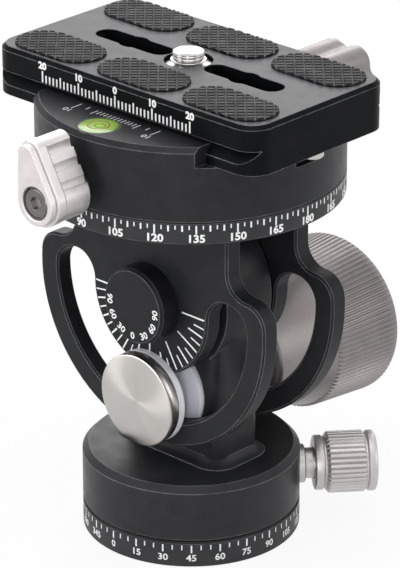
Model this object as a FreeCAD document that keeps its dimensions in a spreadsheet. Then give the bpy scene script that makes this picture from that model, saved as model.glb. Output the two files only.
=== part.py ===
"""Panoramic tripod head: panning base, tilting yoke, panning quick-release clamp.

Millimetres. The origin is the centre of the base's underside, on the base's turning axis.
X runs along the camera plate, Y along the tilt axis towards the large knob, Z up.
"""
import FreeCAD, Part
import Sketcher
import math
import os

SIZES = [
    # fits and seams
    ("fit_gap", 0.05, "running clearance on a radius or on a face"),
    ("free_gap", 0.3, "clearance between curved faces that pass each other"),
    # base ring, bolted to the tripod
    ("base_radius", 22.4, "scale ring and housing"),
    ("base_ring_height", 5.1, "scale ring"),
    ("washer_thin", 0.3, "slip washers in the two turning seams"),
    ("edge_bevel", 1.3, "bevel round the housing's top"),
    ("bush_radius", 4.76, "outside of the thread bush, a 3/8 inch thread"),
    ("bush_bore", 3.2, "bore of the thread bush, a 1/4 inch thread"),
    ("bush_length", 9.5, "thread bush"),
    ("head_recess", 0.4, "how far the base's screw heads sit in"),
    ("spindle_radius", 9.0, "necks that the two turning parts run on"),
    ("flange_radius", 12.0, "flange that holds the housing down"),
    ("flange_height", 4.5, "the same flange"),
    ("keeper_height", 2.4, "keeper ring under that flange"),
    ("keeper_radius", 16.5, "keeper ring"),
    ("keeper_screw_circle", 14.3, "keeper ring's screws"),
    ("base_screw_circle", 6.9, "screws that join ring and spindle"),
    ("small_screw_radius", 1.0, "shank of every small screw"),
    ("small_head_radius", 1.7, "head of every small screw"),
    ("small_head_height", 1.2, "head of every small screw"),
    ("screw_bite", 3.2, "thread length of the small screws"),
    # housing and pillar
    ("housing_height", 12.2, "housing, from the seam to its top"),
    ("pillar_width", 27.0, "pillar, across the tilt axis"),
    ("pillar_thick", 13.2, "pillar, along the tilt axis"),
    ("pillar_corner", 3.2, "pillar's upright corners"),
    ("pivot_height", 53.0, "tilt axis above the ground face"),
    ("barrel_radius", 16.0, "round head of the pillar"),
    # tilt lock
    ("lock_bolt_radius", 4.0, "lock bolt"),
    ("slot_set_in", 10.1, "middle of the curved slots, in from the cheek's rim"),
    ("slot_half", 5.2, "half the width of the curved slots"),
    ("cheek_inner", 8.0, "inner face of each cheek from the middle"),
    ("cheek_thick", 4.1, "cheek"),
    ("disc_radius", 9.75, "stainless disc on the front of the lock bolt"),
    ("disc_thick", 2.7, "stainless disc"),
    ("nylon_thick", 1.45, "nylon washer under the disc"),
    ("inner_washer_radius", 9.9, "nylon washers between pillar and cheeks"),
    ("rear_washer_thick", 1.2, "nylon washer behind the rear cheek"),
    ("thrust_thick", 1.0, "steel washer under the large knob"),
    ("thrust_radius", 9.0, "steel washer under the large knob"),
    ("knob_radius", 17.5, "large knob, ridged rim"),
    ("knob_front_radius", 15.8, "large knob, front of the ridged rim"),
    ("knob_neck_radius", 12.0, "large knob, where it meets its washer"),
    ("knob_skirt", 13.6, "large knob, smooth part"),
    ("knob_grip", 17.4, "large knob, ridged part"),
    ("knob_bevel", 1.2, "large knob, rear edge"),
    ("knob_pocket_radius", 9.5, "hollow in the large knob's rear"),
    ("knob_pocket_depth", 8.0, "hollow in the large knob's rear"),
    ("insert_radius", 6.5, "threaded insert in the large knob"),
    ("cap_thick", 1.2, "cover in the large knob's hollow"),
    # yoke
    ("cheek_radius", 31.0, "cheek's round outline about the tilt axis"),
    ("shoulder_run", 9.22, "level part of the cheek's shoulder, before its bends"),
    ("shoulder_height", 6.9, "cheek's shoulder above the tilt axis"),
    ("shoulder_round", 4.9, "cheek's shoulder, both bends"),
    ("axle_radius", 4.0, "tilt axle"),
    ("axle_bush_radius", 5.5, "bush round the tilt axle"),
    ("washer_apart", 1.0, "between the axle's washers and the lock bolt's"),
    ("pivot_cap_radius", 8.0, "numbered cap on the axle's front end"),
    ("pivot_cap_height", 4.9, "numbered cap"),
    ("axle_nut_radius", 6.0, "low nut on the axle's rear end"),
    ("axle_nut_height", 1.8, "low nut"),
    ("disc_r", 31.0, "upper scale ring and clamp"),
    ("ring_bottom", 74.5, "underside of the upper scale ring"),
    ("ring_height", 4.2, "upper scale ring"),
    ("cheek_screw_x", 14.0, "screws from the ring into the cheeks"),
    ("cheek_screw_length", 13.0, "screws from the ring into the cheeks"),
    # clamp
    ("clamp_height", 15.1, "clamp, from its seam to the top of its jaws"),
    ("clamp_bevel", 1.0, "bevel round the clamp's top"),
    ("spindle_top", 7.0, "upper spindle above the upper ring"),
    ("lid_radius", 12.0, "keeper on the upper spindle"),
    ("lid_height", 2.0, "keeper on the upper spindle"),
    ("lid_screw_circle", 6.0, "screws of that keeper"),
    ("floor_drop", 3.95, "channel floor below the jaws' top"),
    ("jaw_half", 17.4, "jaw lips from the middle"),
    ("undercut", 1.65, "undercut of a jaw lip, as deep as it is high"),
    ("jaw_reach", 21.8, "half the length of the jaws"),
    ("tongue_half", 9.95, "half the width of the rear jaw's tongue"),
    ("tongue_set_in", 0.6, "rear face of the rear jaw's tongue, in from the clamp's rim"),
    ("tongue_thick", 8.4, "rear jaw's tongue, along the clamp screw"),
    ("tongue_bottom", 1.4, "tongue above the clamp's underside"),
    ("clamp_screw_height", 4.5, "clamp screw above the clamp's underside"),
    ("clamp_screw_radius", 2.5, "clamp screw"),
    ("clamp_screw_clear", 1.0, "inner end of the clamp screw, off the keeper"),
    ("jaw_washer_radius", 4.4, "washer under the clamp knob"),
    ("jaw_washer_thick", 0.8, "washer under the clamp knob"),
    ("clamp_collar_radius", 5.0, "clamp knob's neck"),
    ("clamp_collar", 3.6, "clamp knob's neck"),
    ("clamp_knob_radius", 9.5, "clamp knob over its lobes"),
    ("clamp_knob_length", 13.0, "clamp knob"),
    ("flute_radius", 3.0, "hollows between the clamp knob's lobes"),
    ("flute_depth", 1.2, "hollows between the clamp knob's lobes"),
    ("pin_radius", 1.5, "guide pins of the rear jaw"),
    ("pin_x", 6.6, "guide pins from the middle"),
    ("pin_height", 9.2, "guide pins above the clamp's underside"),
    ("pin_root", 6.0, "guide pins' grip in the clamp, ahead of the tongue"),
    ("pin_set_in", 2.4, "outer end of the guide pins, in from the tongue's rear face"),
    ("level_set_in", 5.2, "middle of the bubble level, in from the clamp's rim"),
    ("level_radius", 4.25, "bubble level"),
    ("level_depth", 3.0, "bubble level's pocket"),
    ("level_floor", 0.8, "bottom of the level's cup"),
    ("level_wall", 0.6, "wall of the level's cup"),
    ("lens_thick", 0.8, "window of the level"),
    # panning lever on the clamp
    ("lever_height", 4.1, "lever's axis above the clamp's underside"),
    ("lever_shaft_radius", 2.5, "lever's screw shaft"),
    ("shoe_length", 2.8, "brake shoe of the clamp"),
    ("shoe_radius", 2.4, "brake shoe of the clamp"),
    ("lever_stand", 2.3, "lever's inner face off the clamp's rim"),
    ("lever_body", 8.6, "lever's fluted part"),
    ("lever_face", 1.4, "raised outer face of the lever"),
    ("lever_hub", 5.2, "lever's round end"),
    ("lever_tip", 2.6, "lever's narrow end"),
    ("lever_reach", 9.6, "from the lever's axis to the middle of its narrow end"),
    ("lever_step", 0.6, "how far the raised face stands in from the edge"),
    ("lever_lean", 14.0, "lever's lean from upright, in degrees"),
    ("lever_screw_radius", 3.4, "socket screw in the lever"),
    ("lever_screw_depth", 2.2, "socket screw in the lever"),
    ("lever_screw_recess", 0.5, "how far the socket screw sits in"),
    # panning knob on the base
    ("pan_knob_height", 11.0, "panning knob's axis above the ground face"),
    ("pan_knob_angle", 49.0, "panning knob from the X axis, in degrees"),
    ("pan_thread_radius", 2.4, "panning knob's screw"),
    ("pan_shank_radius", 3.2, "panning knob's shank"),
    ("pan_shank_start", 19.0, "inner end of the shank"),
    ("pan_knob_start", 25.0, "inner end of the panning knob"),
    ("pan_knob_collar", 2.2, "plain collars of the panning knob"),
    ("pan_knob_grip", 8.8, "ridged part of the panning knob"),
    ("pan_knob_radius", 6.4, "ridged part of the panning knob"),
    ("pan_collar_radius", 5.7, "plain collars of the panning knob"),
    ("pan_shoe_length", 3.0, "brake shoe of the base"),
    ("pan_shoe_radius", 2.0, "brake shoe of the base"),
    # camera plate
    ("plate_length", 71.0, "camera plate"),
    ("plate_half", 19.7, "half the width of the camera plate"),
    ("plate_height", 10.0, "camera plate"),
    ("plate_corner", 5.0, "plate's upright corners"),
    ("plate_shift", -1.3, "plate's middle along X as it is clamped"),
    ("plate_aside", 0.7, "plate's middle along Y as it is clamped"),
    ("plate_chamfer", 0.8, "chamfer along the plate's upper edges"),
    ("plate_lip", 5.1, "upper lip of the plate"),
    ("foot_upright", 2.05, "straight edge of the plate's foot, under its slope"),
    ("pad_length", 21.0, "rubber pad"),
    ("pad_width", 11.0, "rubber pad"),
    ("pad_proud", 0.7, "rubber pad above the plate"),
    ("pad_sunk", 0.5, "rubber pad inside the plate"),
    ("pad_pitch", 23.0, "pads along X"),
    ("pad_row", 12.6, "rows of pads from the middle"),
    ("slot_x", 14.9, "accessory slots from the plate's middle"),
    ("slot_length", 19.6, "accessory slot"),
    ("slot_width", 5.2, "accessory slot"),
    ("slot_sink", 3.2, "wide part of the accessory slot"),
    ("slot_through", 3.6, "narrow part of the accessory slot"),
    ("slot_eye", 3.2, "round eye in the middle of the slot"),
    ("stud_radius", 3.175, "camera screw's thread"),
    ("stud_neck", 2.7, "camera screw below its thread"),
    ("stud_proud", 2.2, "camera screw above the plate"),
    ("stud_bevel", 0.7, "end of the camera screw"),
    ("stud_head_radius", 7.0, "camera screw's head"),
    ("stud_head", 2.0, "camera screw's head"),
    ("clip_radius", 4.6, "spring clip that keeps the camera screw"),
    ("clip_height", 0.6, "spring clip"),
    ("clip_sunk", 0.9, "top of the spring clip below the plate's top"),
    ("stop_x", 32.6, "stop screws from the plate's middle"),
    ("stop_radius", 2.4, "stop screw's head"),
    ("stop_height", 2.6, "stop screw's head"),
    ("stop_thread", 1.5, "stop screw's thread"),
    ("stop_bite", 4.0, "stop screw's thread length"),
    ("stop_track_half", 3.2, "half the width of the stop screws' track"),
    ("stop_track_inner", 13.4, "inner end of the stop screws' track"),
]


class Size:
    """A length that knows its value and the sheet expression it comes from."""

    def __init__(self, value, text):
        self.value = value
        self.text = text

    def __add__(self, other):
        other = as_size(other)
        return Size(self.value + other.value, f"({self.text} + {other.text})")

    def __sub__(self, other):
        other = as_size(other)
        return Size(self.value - other.value, f"({self.text} - {other.text})")

    def __mul__(self, other):
        other = as_size(other)
        return Size(self.value * other.value, f"({self.text} * {other.text})")

    def __truediv__(self, other):
        other = as_size(other)
        return Size(self.value / other.value, f"({self.text} / {other.text})")

    def __neg__(self):
        return Size(-self.value, f"(0 - {self.text})")

    def __radd__(self, other):
        return as_size(other) + self

    def __rsub__(self, other):
        return as_size(other) - self

    def __rmul__(self, other):
        return as_size(other) * self


def as_size(value):
    """Wrap a plain number, so that it can stand in an expression."""
    if isinstance(value, Size):
        return value
    return Size(float(value), repr(float(value)))


def root(size):
    """Square root of a size."""
    return Size(math.sqrt(size.value), f"sqrt({size.text})")


doc = FreeCAD.newDocument("PanoramicHead")
sheet = doc.addObject("Spreadsheet::Sheet", "Sizes")


class Sizes:
    """The driving sizes, one attribute for each row of the sheet."""


S = Sizes()
for row, (alias, value, note) in enumerate(SIZES, start=1):
    sheet.set(f"A{row}", note)
    sheet.set(f"B{row}", str(value))
    sheet.setAlias(f"B{row}", alias)
    setattr(S, alias, Size(value, "Sizes." + alias))
doc.recompute()

NODES = []
UP = FreeCAD.Rotation()
BACK = FreeCAD.Rotation(FreeCAD.Vector(0, 0, 1), FreeCAD.Vector(0, 1, 0))
FRONT = FreeCAD.Rotation(FreeCAD.Vector(0, 0, 1), FreeCAD.Vector(0, -1, 0))
# a profile drawn in Y and Z and drawn out along X
ALONG_X = FreeCAD.Rotation(FreeCAD.Vector(0, 1, 0), FreeCAD.Vector(0, 0, 1),
                           FreeCAD.Vector(1, 0, 0), "ZXY")
FULL_TURN = 360
# how far a cutting shape runs past the face that it opens
PAST = 2.0
# two coordinates closer than this are the same place
SAME_PLACE = 0.01


def bind(thing, path, size):
    """Tie one property to its expression in the sheet."""
    thing.setExpression(path, as_size(size).text)


def place(thing, at, turn):
    """Stand a shape at a point given in sizes, turned by a fixed rotation."""
    thing.Placement = FreeCAD.Placement(FreeCAD.Vector(*[as_size(a).value for a in at]), turn)
    for axis, size in zip("xyz", at):
        bind(thing, "Placement.Base." + axis, size)
    return thing


def rod(name, radius, length, at=(0, 0, 0), turn=UP):
    """Cylinder whose first face is centred on a point."""
    thing = doc.addObject("Part::Cylinder", name)
    bind(thing, "Radius", radius)
    bind(thing, "Height", length)
    return place(thing, at, turn)


def block(name, sizes, at):
    """Box from its low corner."""
    thing = doc.addObject("Part::Box", name)
    for path, size in zip(("Length", "Width", "Height"), sizes):
        bind(thing, path, size)
    return place(thing, at, UP)


def fused(name, things):
    """One solid out of several."""
    thing = doc.addObject("Part::MultiFuse", name)
    thing.Shapes = things
    thing.Refine = True
    return thing


def cut(name, base, tools):
    """The base with every tool taken away."""
    thing = doc.addObject("Part::Cut", name)
    thing.Base = base
    thing.Tool = tools[0] if len(tools) == 1 else fused(name + "_cuts", tools)
    thing.Refine = True
    return thing


def shared(name, first, second):
    """What two shapes have in common."""
    thing = doc.addObject("Part::Common", name)
    thing.Base = first
    thing.Tool = second
    thing.Refine = True
    return thing


def group(name, things):
    """Separate solids that share one node."""
    thing = doc.addObject("Part::Compound", name)
    thing.Links = things
    return thing


def node(thing, label):
    """Register a finished sub-part under its own name."""
    thing.Label = label
    NODES.append(thing)
    return thing


def outline(sketch, points):
    """Closed outline of straight lines, each corner tied to its sizes.

    A line's start is its point 1 and its end is its point 2. The sketch's own origin and level
    axis are its item -1, and its upright axis is its item -2.
    """
    corners = [(as_size(x), as_size(y)) for x, y in points]
    ends = [FreeCAD.Vector(x.value, y.value, 0) for x, y in corners]
    count = len(corners)
    for index in range(count):
        sketch.addGeometry(Part.LineSegment(ends[index], ends[(index + 1) % count]), False)
    for index in range(count):
        after = (index + 1) % count
        sketch.addConstraint(Sketcher.Constraint("Coincident", index, 2, after, 1))
    for index, corner in enumerate(corners):
        for kind, size, axis in zip(("DistanceX", "DistanceY"), corner, (-2, -1)):
            if size.value == 0:
                sketch.addConstraint(Sketcher.Constraint("PointOnObject", index, 1, axis))
                continue
            rule = Sketcher.Constraint(kind, -1, 1, index, 1, size.value)
            number = sketch.addConstraint(rule)
            sketch.setExpression(f"Constraints[{number}]", size.text)


def sketch_on(body, role, points):
    """Sketch with one outline on an origin plane of its own body."""
    plane = [item for item in body.Origin.OriginFeatures if item.Role == role][0]
    sketch = body.newObject("Sketcher::SketchObject", body.Name + "_outline")
    sketch.AttachmentSupport = (plane, [""])
    sketch.MapMode = "FlatFace"
    outline(sketch, points)
    return sketch


def turned(name, points, at=(0, 0, 0), turn=UP):
    """Piece turned about its own Z axis, from points given as radius and height."""
    body = doc.addObject("PartDesign::Body", name)
    sketch = sketch_on(body, "XZ_Plane", points)
    spun = body.newObject("PartDesign::Revolution", name + "_turned")
    spun.Profile = sketch
    spun.ReferenceAxis = (sketch, ["V_Axis"])
    spun.Angle = FULL_TURN
    return place(body, at, turn)


def drawn(name, points, length, at=(0, 0, 0), turn=UP):
    """Piece of one outline, drawn out along its own Z axis."""
    body = doc.addObject("PartDesign::Body", name)
    sketch = sketch_on(body, "XY_Plane", points)
    pad = body.newObject("PartDesign::Pad", name + "_drawn")
    pad.Profile = sketch
    bind(pad, "Length", length)
    return place(body, at, turn)


def ring(name, inner, outer, height, at=(0, 0, 0), turn=UP):
    """Flat ring, such as a washer."""
    corners = [(inner, 0), (outer, 0), (outer, height), (inner, height)]
    return turned(name, corners, at, turn)


def stadium(name, length, width, height, at):
    """Upright slot shape along X, centred on a point of its lower face."""
    x, y, z = at
    straight = as_size(length) - width
    bar = block(name + "_bar", (straight, width, height), (x - straight / 2, y - as_size(width) / 2, z))
    ends = [rod(f"{name}_end{side:+d}".replace("+", "p").replace("-", "m"), as_size(width) / 2, height,
                (x + straight / 2 * side, y, z)) for side in (-1, 1)]
    return fused(name, [bar] + ends)


def rounded_block(name, sizes, corner, at):
    """Box with rounded upright corners, centred on a point of its lower face."""
    length, width, height = [as_size(size) for size in sizes]
    x, y, z = [as_size(value) for value in at]
    low_x = x - length / 2
    low_y = y - width / 2
    long_bar = block(name + "_long", (length, width - corner * 2, height), (low_x, low_y + corner, z))
    wide_bar = block(name + "_wide", (length - corner * 2, width, height), (low_x + corner, low_y, z))
    posts = []
    for number, (right, back) in enumerate(((-1, -1), (1, -1), (1, 1), (-1, 1))):
        post_x = x + (length / 2 - corner) * right
        post_y = y + (width / 2 - corner) * back
        posts.append(rod(f"{name}_post{number}", corner, height, (post_x, post_y, z)))
    return fused(name, [long_bar, wide_bar] + posts)


def round_places(radius, count, first_angle, height):
    """Points evenly spaced on a circle about the turning axis."""
    angles = [math.radians(first_angle + FULL_TURN * index / count) for index in range(count)]
    return [(radius * math.cos(angle), radius * math.sin(angle), height) for angle in angles]


def screws(label, places, length):
    """Group of small screws, heads up, each head's top at its place."""
    made = []
    for number, (x, y, z) in enumerate(places):
        shank = rod(f"{label}_shank{number}", S.small_screw_radius, length, (x, y, z - length))
        head = rod(f"{label}_head{number}", S.small_head_radius, S.small_head_height,
                   (x, y, z - S.small_head_height))
        made.append(fused(f"{label}_{number}", [shank, head]))
    return node(group(label, made), label)


def screw_holes(name, places, length):
    """Holes for a group of small screws."""
    made = []
    for number, (x, y, z) in enumerate(places):
        made.append(rod(f"{name}_bore{number}", S.small_screw_radius + S.fit_gap, length + S.fit_gap,
                        (x, y, z - length - S.fit_gap)))
        made.append(rod(f"{name}_sink{number}", S.small_head_radius + S.fit_gap, S.small_head_height + PAST,
                        (x, y, z - S.small_head_height)))
    return made


# heights that several pieces share
seam_top = S.base_ring_height + S.washer_thin
housing_top = seam_top + S.housing_height
keeper_bottom = seam_top + S.washer_thin
flange_bottom = keeper_bottom + S.keeper_height + S.fit_gap
flange_top = flange_bottom + S.flange_height
hollow_top = flange_top + S.fit_gap * 2
lock_drop = S.cheek_radius - S.slot_set_in
lock_height = S.pivot_height - lock_drop
pivot_washer_radius = lock_drop - S.inner_washer_radius - S.washer_apart
cheek_outer = S.cheek_inner + S.cheek_thick
ring_top = S.ring_bottom + S.ring_height
clamp_bottom = ring_top + S.washer_thin
clamp_top = clamp_bottom + S.clamp_height
floor_height = clamp_top - S.floor_drop
plate_bottom = floor_height + S.fit_gap
undercut_low = plate_bottom + S.foot_upright + S.fit_gap
undercut_top = undercut_low + S.undercut
plate_top = plate_bottom + S.plate_height
spindle_end = ring_top + S.spindle_top
lever_axis = clamp_bottom + S.lever_height
clamp_axis = clamp_bottom + S.clamp_screw_height
pin_axis = clamp_bottom + S.pin_height
# places that follow the clamp's rim
tongue_outer = S.disc_r - S.tongue_set_in
tongue_face = tongue_outer - S.tongue_thick
pin_inner = tongue_face - S.pin_root
pin_outer = tongue_outer - S.pin_set_in
clamp_screw_start = S.lid_radius + S.clamp_screw_clear
level_y = S.disc_r - S.level_set_in
lever_inner = S.disc_r + S.lever_stand


def make_base():
    """Scale ring on the tripod, its spindle, screws, thread bush and slip washer."""
    bore = S.bush_radius + S.fit_gap
    blank = ring("base_ring_blank", bore, S.base_radius, S.base_ring_height)
    head_depth = S.small_head_height + S.head_recess
    places = round_places(S.base_screw_circle, 3, 90, 0)
    reach = flange_bottom + S.screw_bite
    holes = []
    made = []
    for number, (x, y, _) in enumerate(places):
        holes.append(rod(f"base_screw_way{number}", S.small_screw_radius + S.fit_gap, reach, (x, y, 0)))
        holes.append(rod(f"base_screw_sink{number}", S.small_head_radius + S.fit_gap, head_depth,
                         (x, y, 0)))
        shank = rod(f"base_screw_shank{number}", S.small_screw_radius, reach - head_depth,
                    (x, y, head_depth))
        head = rod(f"base_screw_head{number}", S.small_head_radius, S.small_head_height,
                   (x, y, S.head_recess))
        made.append(fused(f"base_screw{number}", [shank, head]))
    hole_set = group("base_screw_ways", holes)
    node(cut("base_ring", blank, [hole_set]), "base_ring")

    spindle = turned("base_spindle_blank", [
        (bore, S.base_ring_height), (S.spindle_radius, S.base_ring_height),
        (S.spindle_radius, flange_bottom), (S.flange_radius, flange_bottom),
        (S.flange_radius, flange_top), (bore, flange_top)])
    node(cut("base_spindle", spindle, [hole_set]), "base_spindle")
    node(group("base_screws", made), "base_screws")

    bush = ring("bush_blank", S.bush_bore, S.bush_radius, S.bush_length)
    slot_width = S.small_screw_radius
    slot = block("bush_slot", (S.bush_radius * 2 + PAST, slot_width, slot_width),
                 (-S.bush_radius - PAST / 2, -slot_width / 2, 0))
    node(cut("thread_bush", bush, [slot]), "thread_bush")
    node(ring("base_slip_washer", S.keeper_radius + S.free_gap * 2, S.base_radius - S.free_gap, S.washer_thin,
              (0, 0, S.base_ring_height)), "base_slip_washer")


def pan_place(radius):
    """Point on the panning knob's axis, at a distance from the middle."""
    angle = math.radians(S.pan_knob_angle.value)
    return (radius * math.cos(angle), radius * math.sin(angle), S.pan_knob_height)


def pan_direction():
    """Turn that lays a piece's axis along the panning knob's axis."""
    angle = math.radians(S.pan_knob_angle.value)
    return FreeCAD.Rotation(FreeCAD.Vector(0, 0, 1), FreeCAD.Vector(math.cos(angle), math.sin(angle), 0))


def make_housing():
    """Turning housing and pillar in one piece, with the keeper ring inside it."""
    keeper_wall = S.keeper_radius + S.fit_gap
    hollow = S.flange_radius + S.free_gap
    shell = turned("housing_shell", [
        (keeper_wall, seam_top), (S.base_radius, seam_top), (S.base_radius, housing_top - S.edge_bevel),
        (S.base_radius - S.edge_bevel, housing_top), (0, housing_top), (0, hollow_top),
        (hollow, hollow_top), (hollow, flange_bottom), (keeper_wall, flange_bottom)])
    sunk = S.pillar_corner / 2
    pillar_tall = S.pivot_height - housing_top + sunk
    pillar = rounded_block("pillar_post", (S.pillar_width, S.pillar_thick, pillar_tall),
                           S.pillar_corner, (0, 0, housing_top - sunk))
    barrel = rod("pillar_barrel", S.barrel_radius, S.pillar_thick,
                 (0, -S.pillar_thick / 2, S.pivot_height), BACK)
    solid = fused("housing_solid", [shell, pillar, barrel])
    start = -S.pillar_thick / 2 - PAST
    across = S.pillar_thick + PAST * 2
    ways = [
        rod("axle_way", S.axle_bush_radius + S.fit_gap, across, (0, start, S.pivot_height), BACK),
        rod("bolt_way", S.lock_bolt_radius + S.fit_gap, across, (0, start, lock_height), BACK),
        rod("pan_screw_way", S.pan_thread_radius + S.fit_gap, S.pan_shank_start,
            pan_place(S.flange_radius / 2), pan_direction()),
        rod("pan_shank_way", S.pan_shank_radius + S.fit_gap, S.base_radius - S.pan_shank_start + PAST * 2,
            pan_place(S.pan_shank_start - S.free_gap), pan_direction()),
    ]
    bore = S.small_screw_radius + S.fit_gap
    places = round_places(S.keeper_screw_circle, 3, 30, keeper_bottom)
    made = []
    for number, (x, y, z) in enumerate(places):
        length = S.keeper_height + S.screw_bite
        ways.append(rod(f"keeper_way{number}", bore, length + S.fit_gap, (x, y, z)))
        shank = rod(f"keeper_shank{number}", S.small_screw_radius, length, (x, y, z))
        head = rod(f"keeper_head{number}", S.small_head_radius, S.small_head_height, (x, y, z))
        made.append(fused(f"keeper_screw{number}", [shank, head]))
    node(cut("pillar_housing", solid, ways), "pillar_housing")

    keeper = ring("keeper_blank", S.spindle_radius + S.free_gap, S.keeper_radius, S.keeper_height,
                  (0, 0, keeper_bottom))
    sinks = []
    for number, (x, y, z) in enumerate(places):
        sinks.append(rod(f"keeper_bore{number}", bore, S.keeper_height + PAST, (x, y, z)))
        sinks.append(rod(f"keeper_sink{number}", S.small_head_radius + S.fit_gap, S.small_head_height,
                         (x, y, z)))
    node(cut("pan_keeper_ring", keeper, sinks), "pan_keeper_ring")
    node(group("keeper_screws", made), "keeper_screws")


def make_pan_knob():
    """Brake shoe and ridged knob that lock the base's turning."""
    shoe_start = S.flange_radius + S.fit_gap
    node(rod("pan_brake_shoe", S.pan_shoe_radius, S.pan_shoe_length, pan_place(shoe_start),
             pan_direction()), "pan_brake_shoe")
    screw_start = shoe_start + S.pan_shoe_length
    screw_length = S.pan_knob_start + S.pan_knob_collar - screw_start
    shank_from = S.pan_shank_start - screw_start
    node(turned("pan_knob_screw", [
        (0, 0), (S.pan_thread_radius, 0), (S.pan_thread_radius, shank_from), (S.pan_shank_radius, shank_from),
        (S.pan_shank_radius, screw_length), (0, screw_length)], pan_place(screw_start), pan_direction()),
        "pan_knob_screw")
    collar = S.pan_knob_collar
    ridge_end = collar + S.pan_knob_grip
    length = ridge_end + collar
    lip = (S.pan_knob_radius - S.pan_collar_radius) / 2
    hole = S.pan_shank_radius + S.fit_gap
    node(turned("pan_knob_grip", [
        (0, collar), (hole, collar), (hole, 0), (S.pan_collar_radius, 0), (S.pan_collar_radius, collar - lip),
        (S.pan_knob_radius, collar), (S.pan_knob_radius, ridge_end), (S.pan_collar_radius, ridge_end + lip),
        (S.pan_collar_radius, length), (0, length)], pan_place(S.pan_knob_start), pan_direction()),
        "pan_knob_grip")


def make_tilt_lock():
    """Lock bolt through the pillar, its disc, washers and sleeves, and the large knob."""
    half = S.pillar_thick / 2
    disc_back = cheek_outer + S.fit_gap + S.nylon_thick
    bore = S.lock_bolt_radius + S.fit_gap
    knob_front = cheek_outer + S.fit_gap + S.rear_washer_thick + S.thrust_thick
    knob_length = S.knob_skirt + S.knob_grip
    pocket = knob_front + knob_length - S.knob_pocket_depth
    node(rod("lock_bolt", S.lock_bolt_radius, disc_back + pocket - S.fit_gap,
             (0, -disc_back, lock_height), BACK), "lock_bolt")
    lip = S.edge_bevel / 4
    node(turned("lock_disc", [
        (0, 0), (S.disc_radius, 0), (S.disc_radius, S.disc_thick - lip), (S.disc_radius - lip, S.disc_thick),
        (0, S.disc_thick)], (0, -disc_back, lock_height), FRONT), "lock_disc")
    node(ring("front_nylon_washer", bore, S.disc_radius, S.nylon_thick,
              (0, -disc_back, lock_height), BACK), "front_nylon_washer")
    sleeve = S.slot_half - S.free_gap
    node(group("slot_sleeves", [
        ring("front_sleeve", bore, sleeve, S.cheek_thick, (0, -cheek_outer, lock_height), BACK),
        ring("rear_sleeve", bore, sleeve, S.cheek_thick, (0, S.cheek_inner, lock_height), BACK)]),
        "slot_sleeves")
    gap = S.cheek_inner - half - S.fit_gap
    node(group("inner_nylon_washers", [
        ring("front_inner_washer", bore, S.inner_washer_radius, gap, (0, -half - gap, lock_height), BACK),
        ring("rear_inner_washer", bore, S.inner_washer_radius, gap, (0, half, lock_height), BACK)]),
        "inner_nylon_washers")
    node(ring("rear_nylon_washer", bore, S.inner_washer_radius, S.rear_washer_thick,
              (0, cheek_outer + S.fit_gap, lock_height), BACK), "rear_nylon_washer")
    node(ring("tilt_thrust_washer", bore, S.thrust_radius, S.thrust_thick,
              (0, knob_front - S.thrust_thick, lock_height), BACK), "tilt_thrust_washer")

    insert = S.insert_radius
    bevel = S.knob_bevel
    rim = S.knob_radius
    floor = knob_length - S.knob_pocket_depth
    node(turned("tilt_knob_grip", [
        (insert + S.fit_gap, 0), (S.knob_neck_radius, 0), (S.knob_front_radius - bevel, S.knob_skirt - bevel),
        (S.knob_front_radius, S.knob_skirt), (rim, knob_length - bevel), (rim - bevel, knob_length),
        (S.knob_pocket_radius, knob_length), (S.knob_pocket_radius, floor), (insert + S.fit_gap, floor)],
        (0, knob_front, lock_height), BACK), "tilt_knob_grip")
    node(ring("tilt_knob_insert", bore, insert, floor, (0, knob_front, lock_height), BACK),
         "tilt_knob_insert")
    cap_at = knob_front + knob_length - S.cap_thick - S.free_gap
    node(rod("tilt_knob_cap", S.knob_pocket_radius - S.fit_gap, S.cap_thick, (0, cap_at, lock_height), BACK),
         "tilt_knob_cap")


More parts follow.
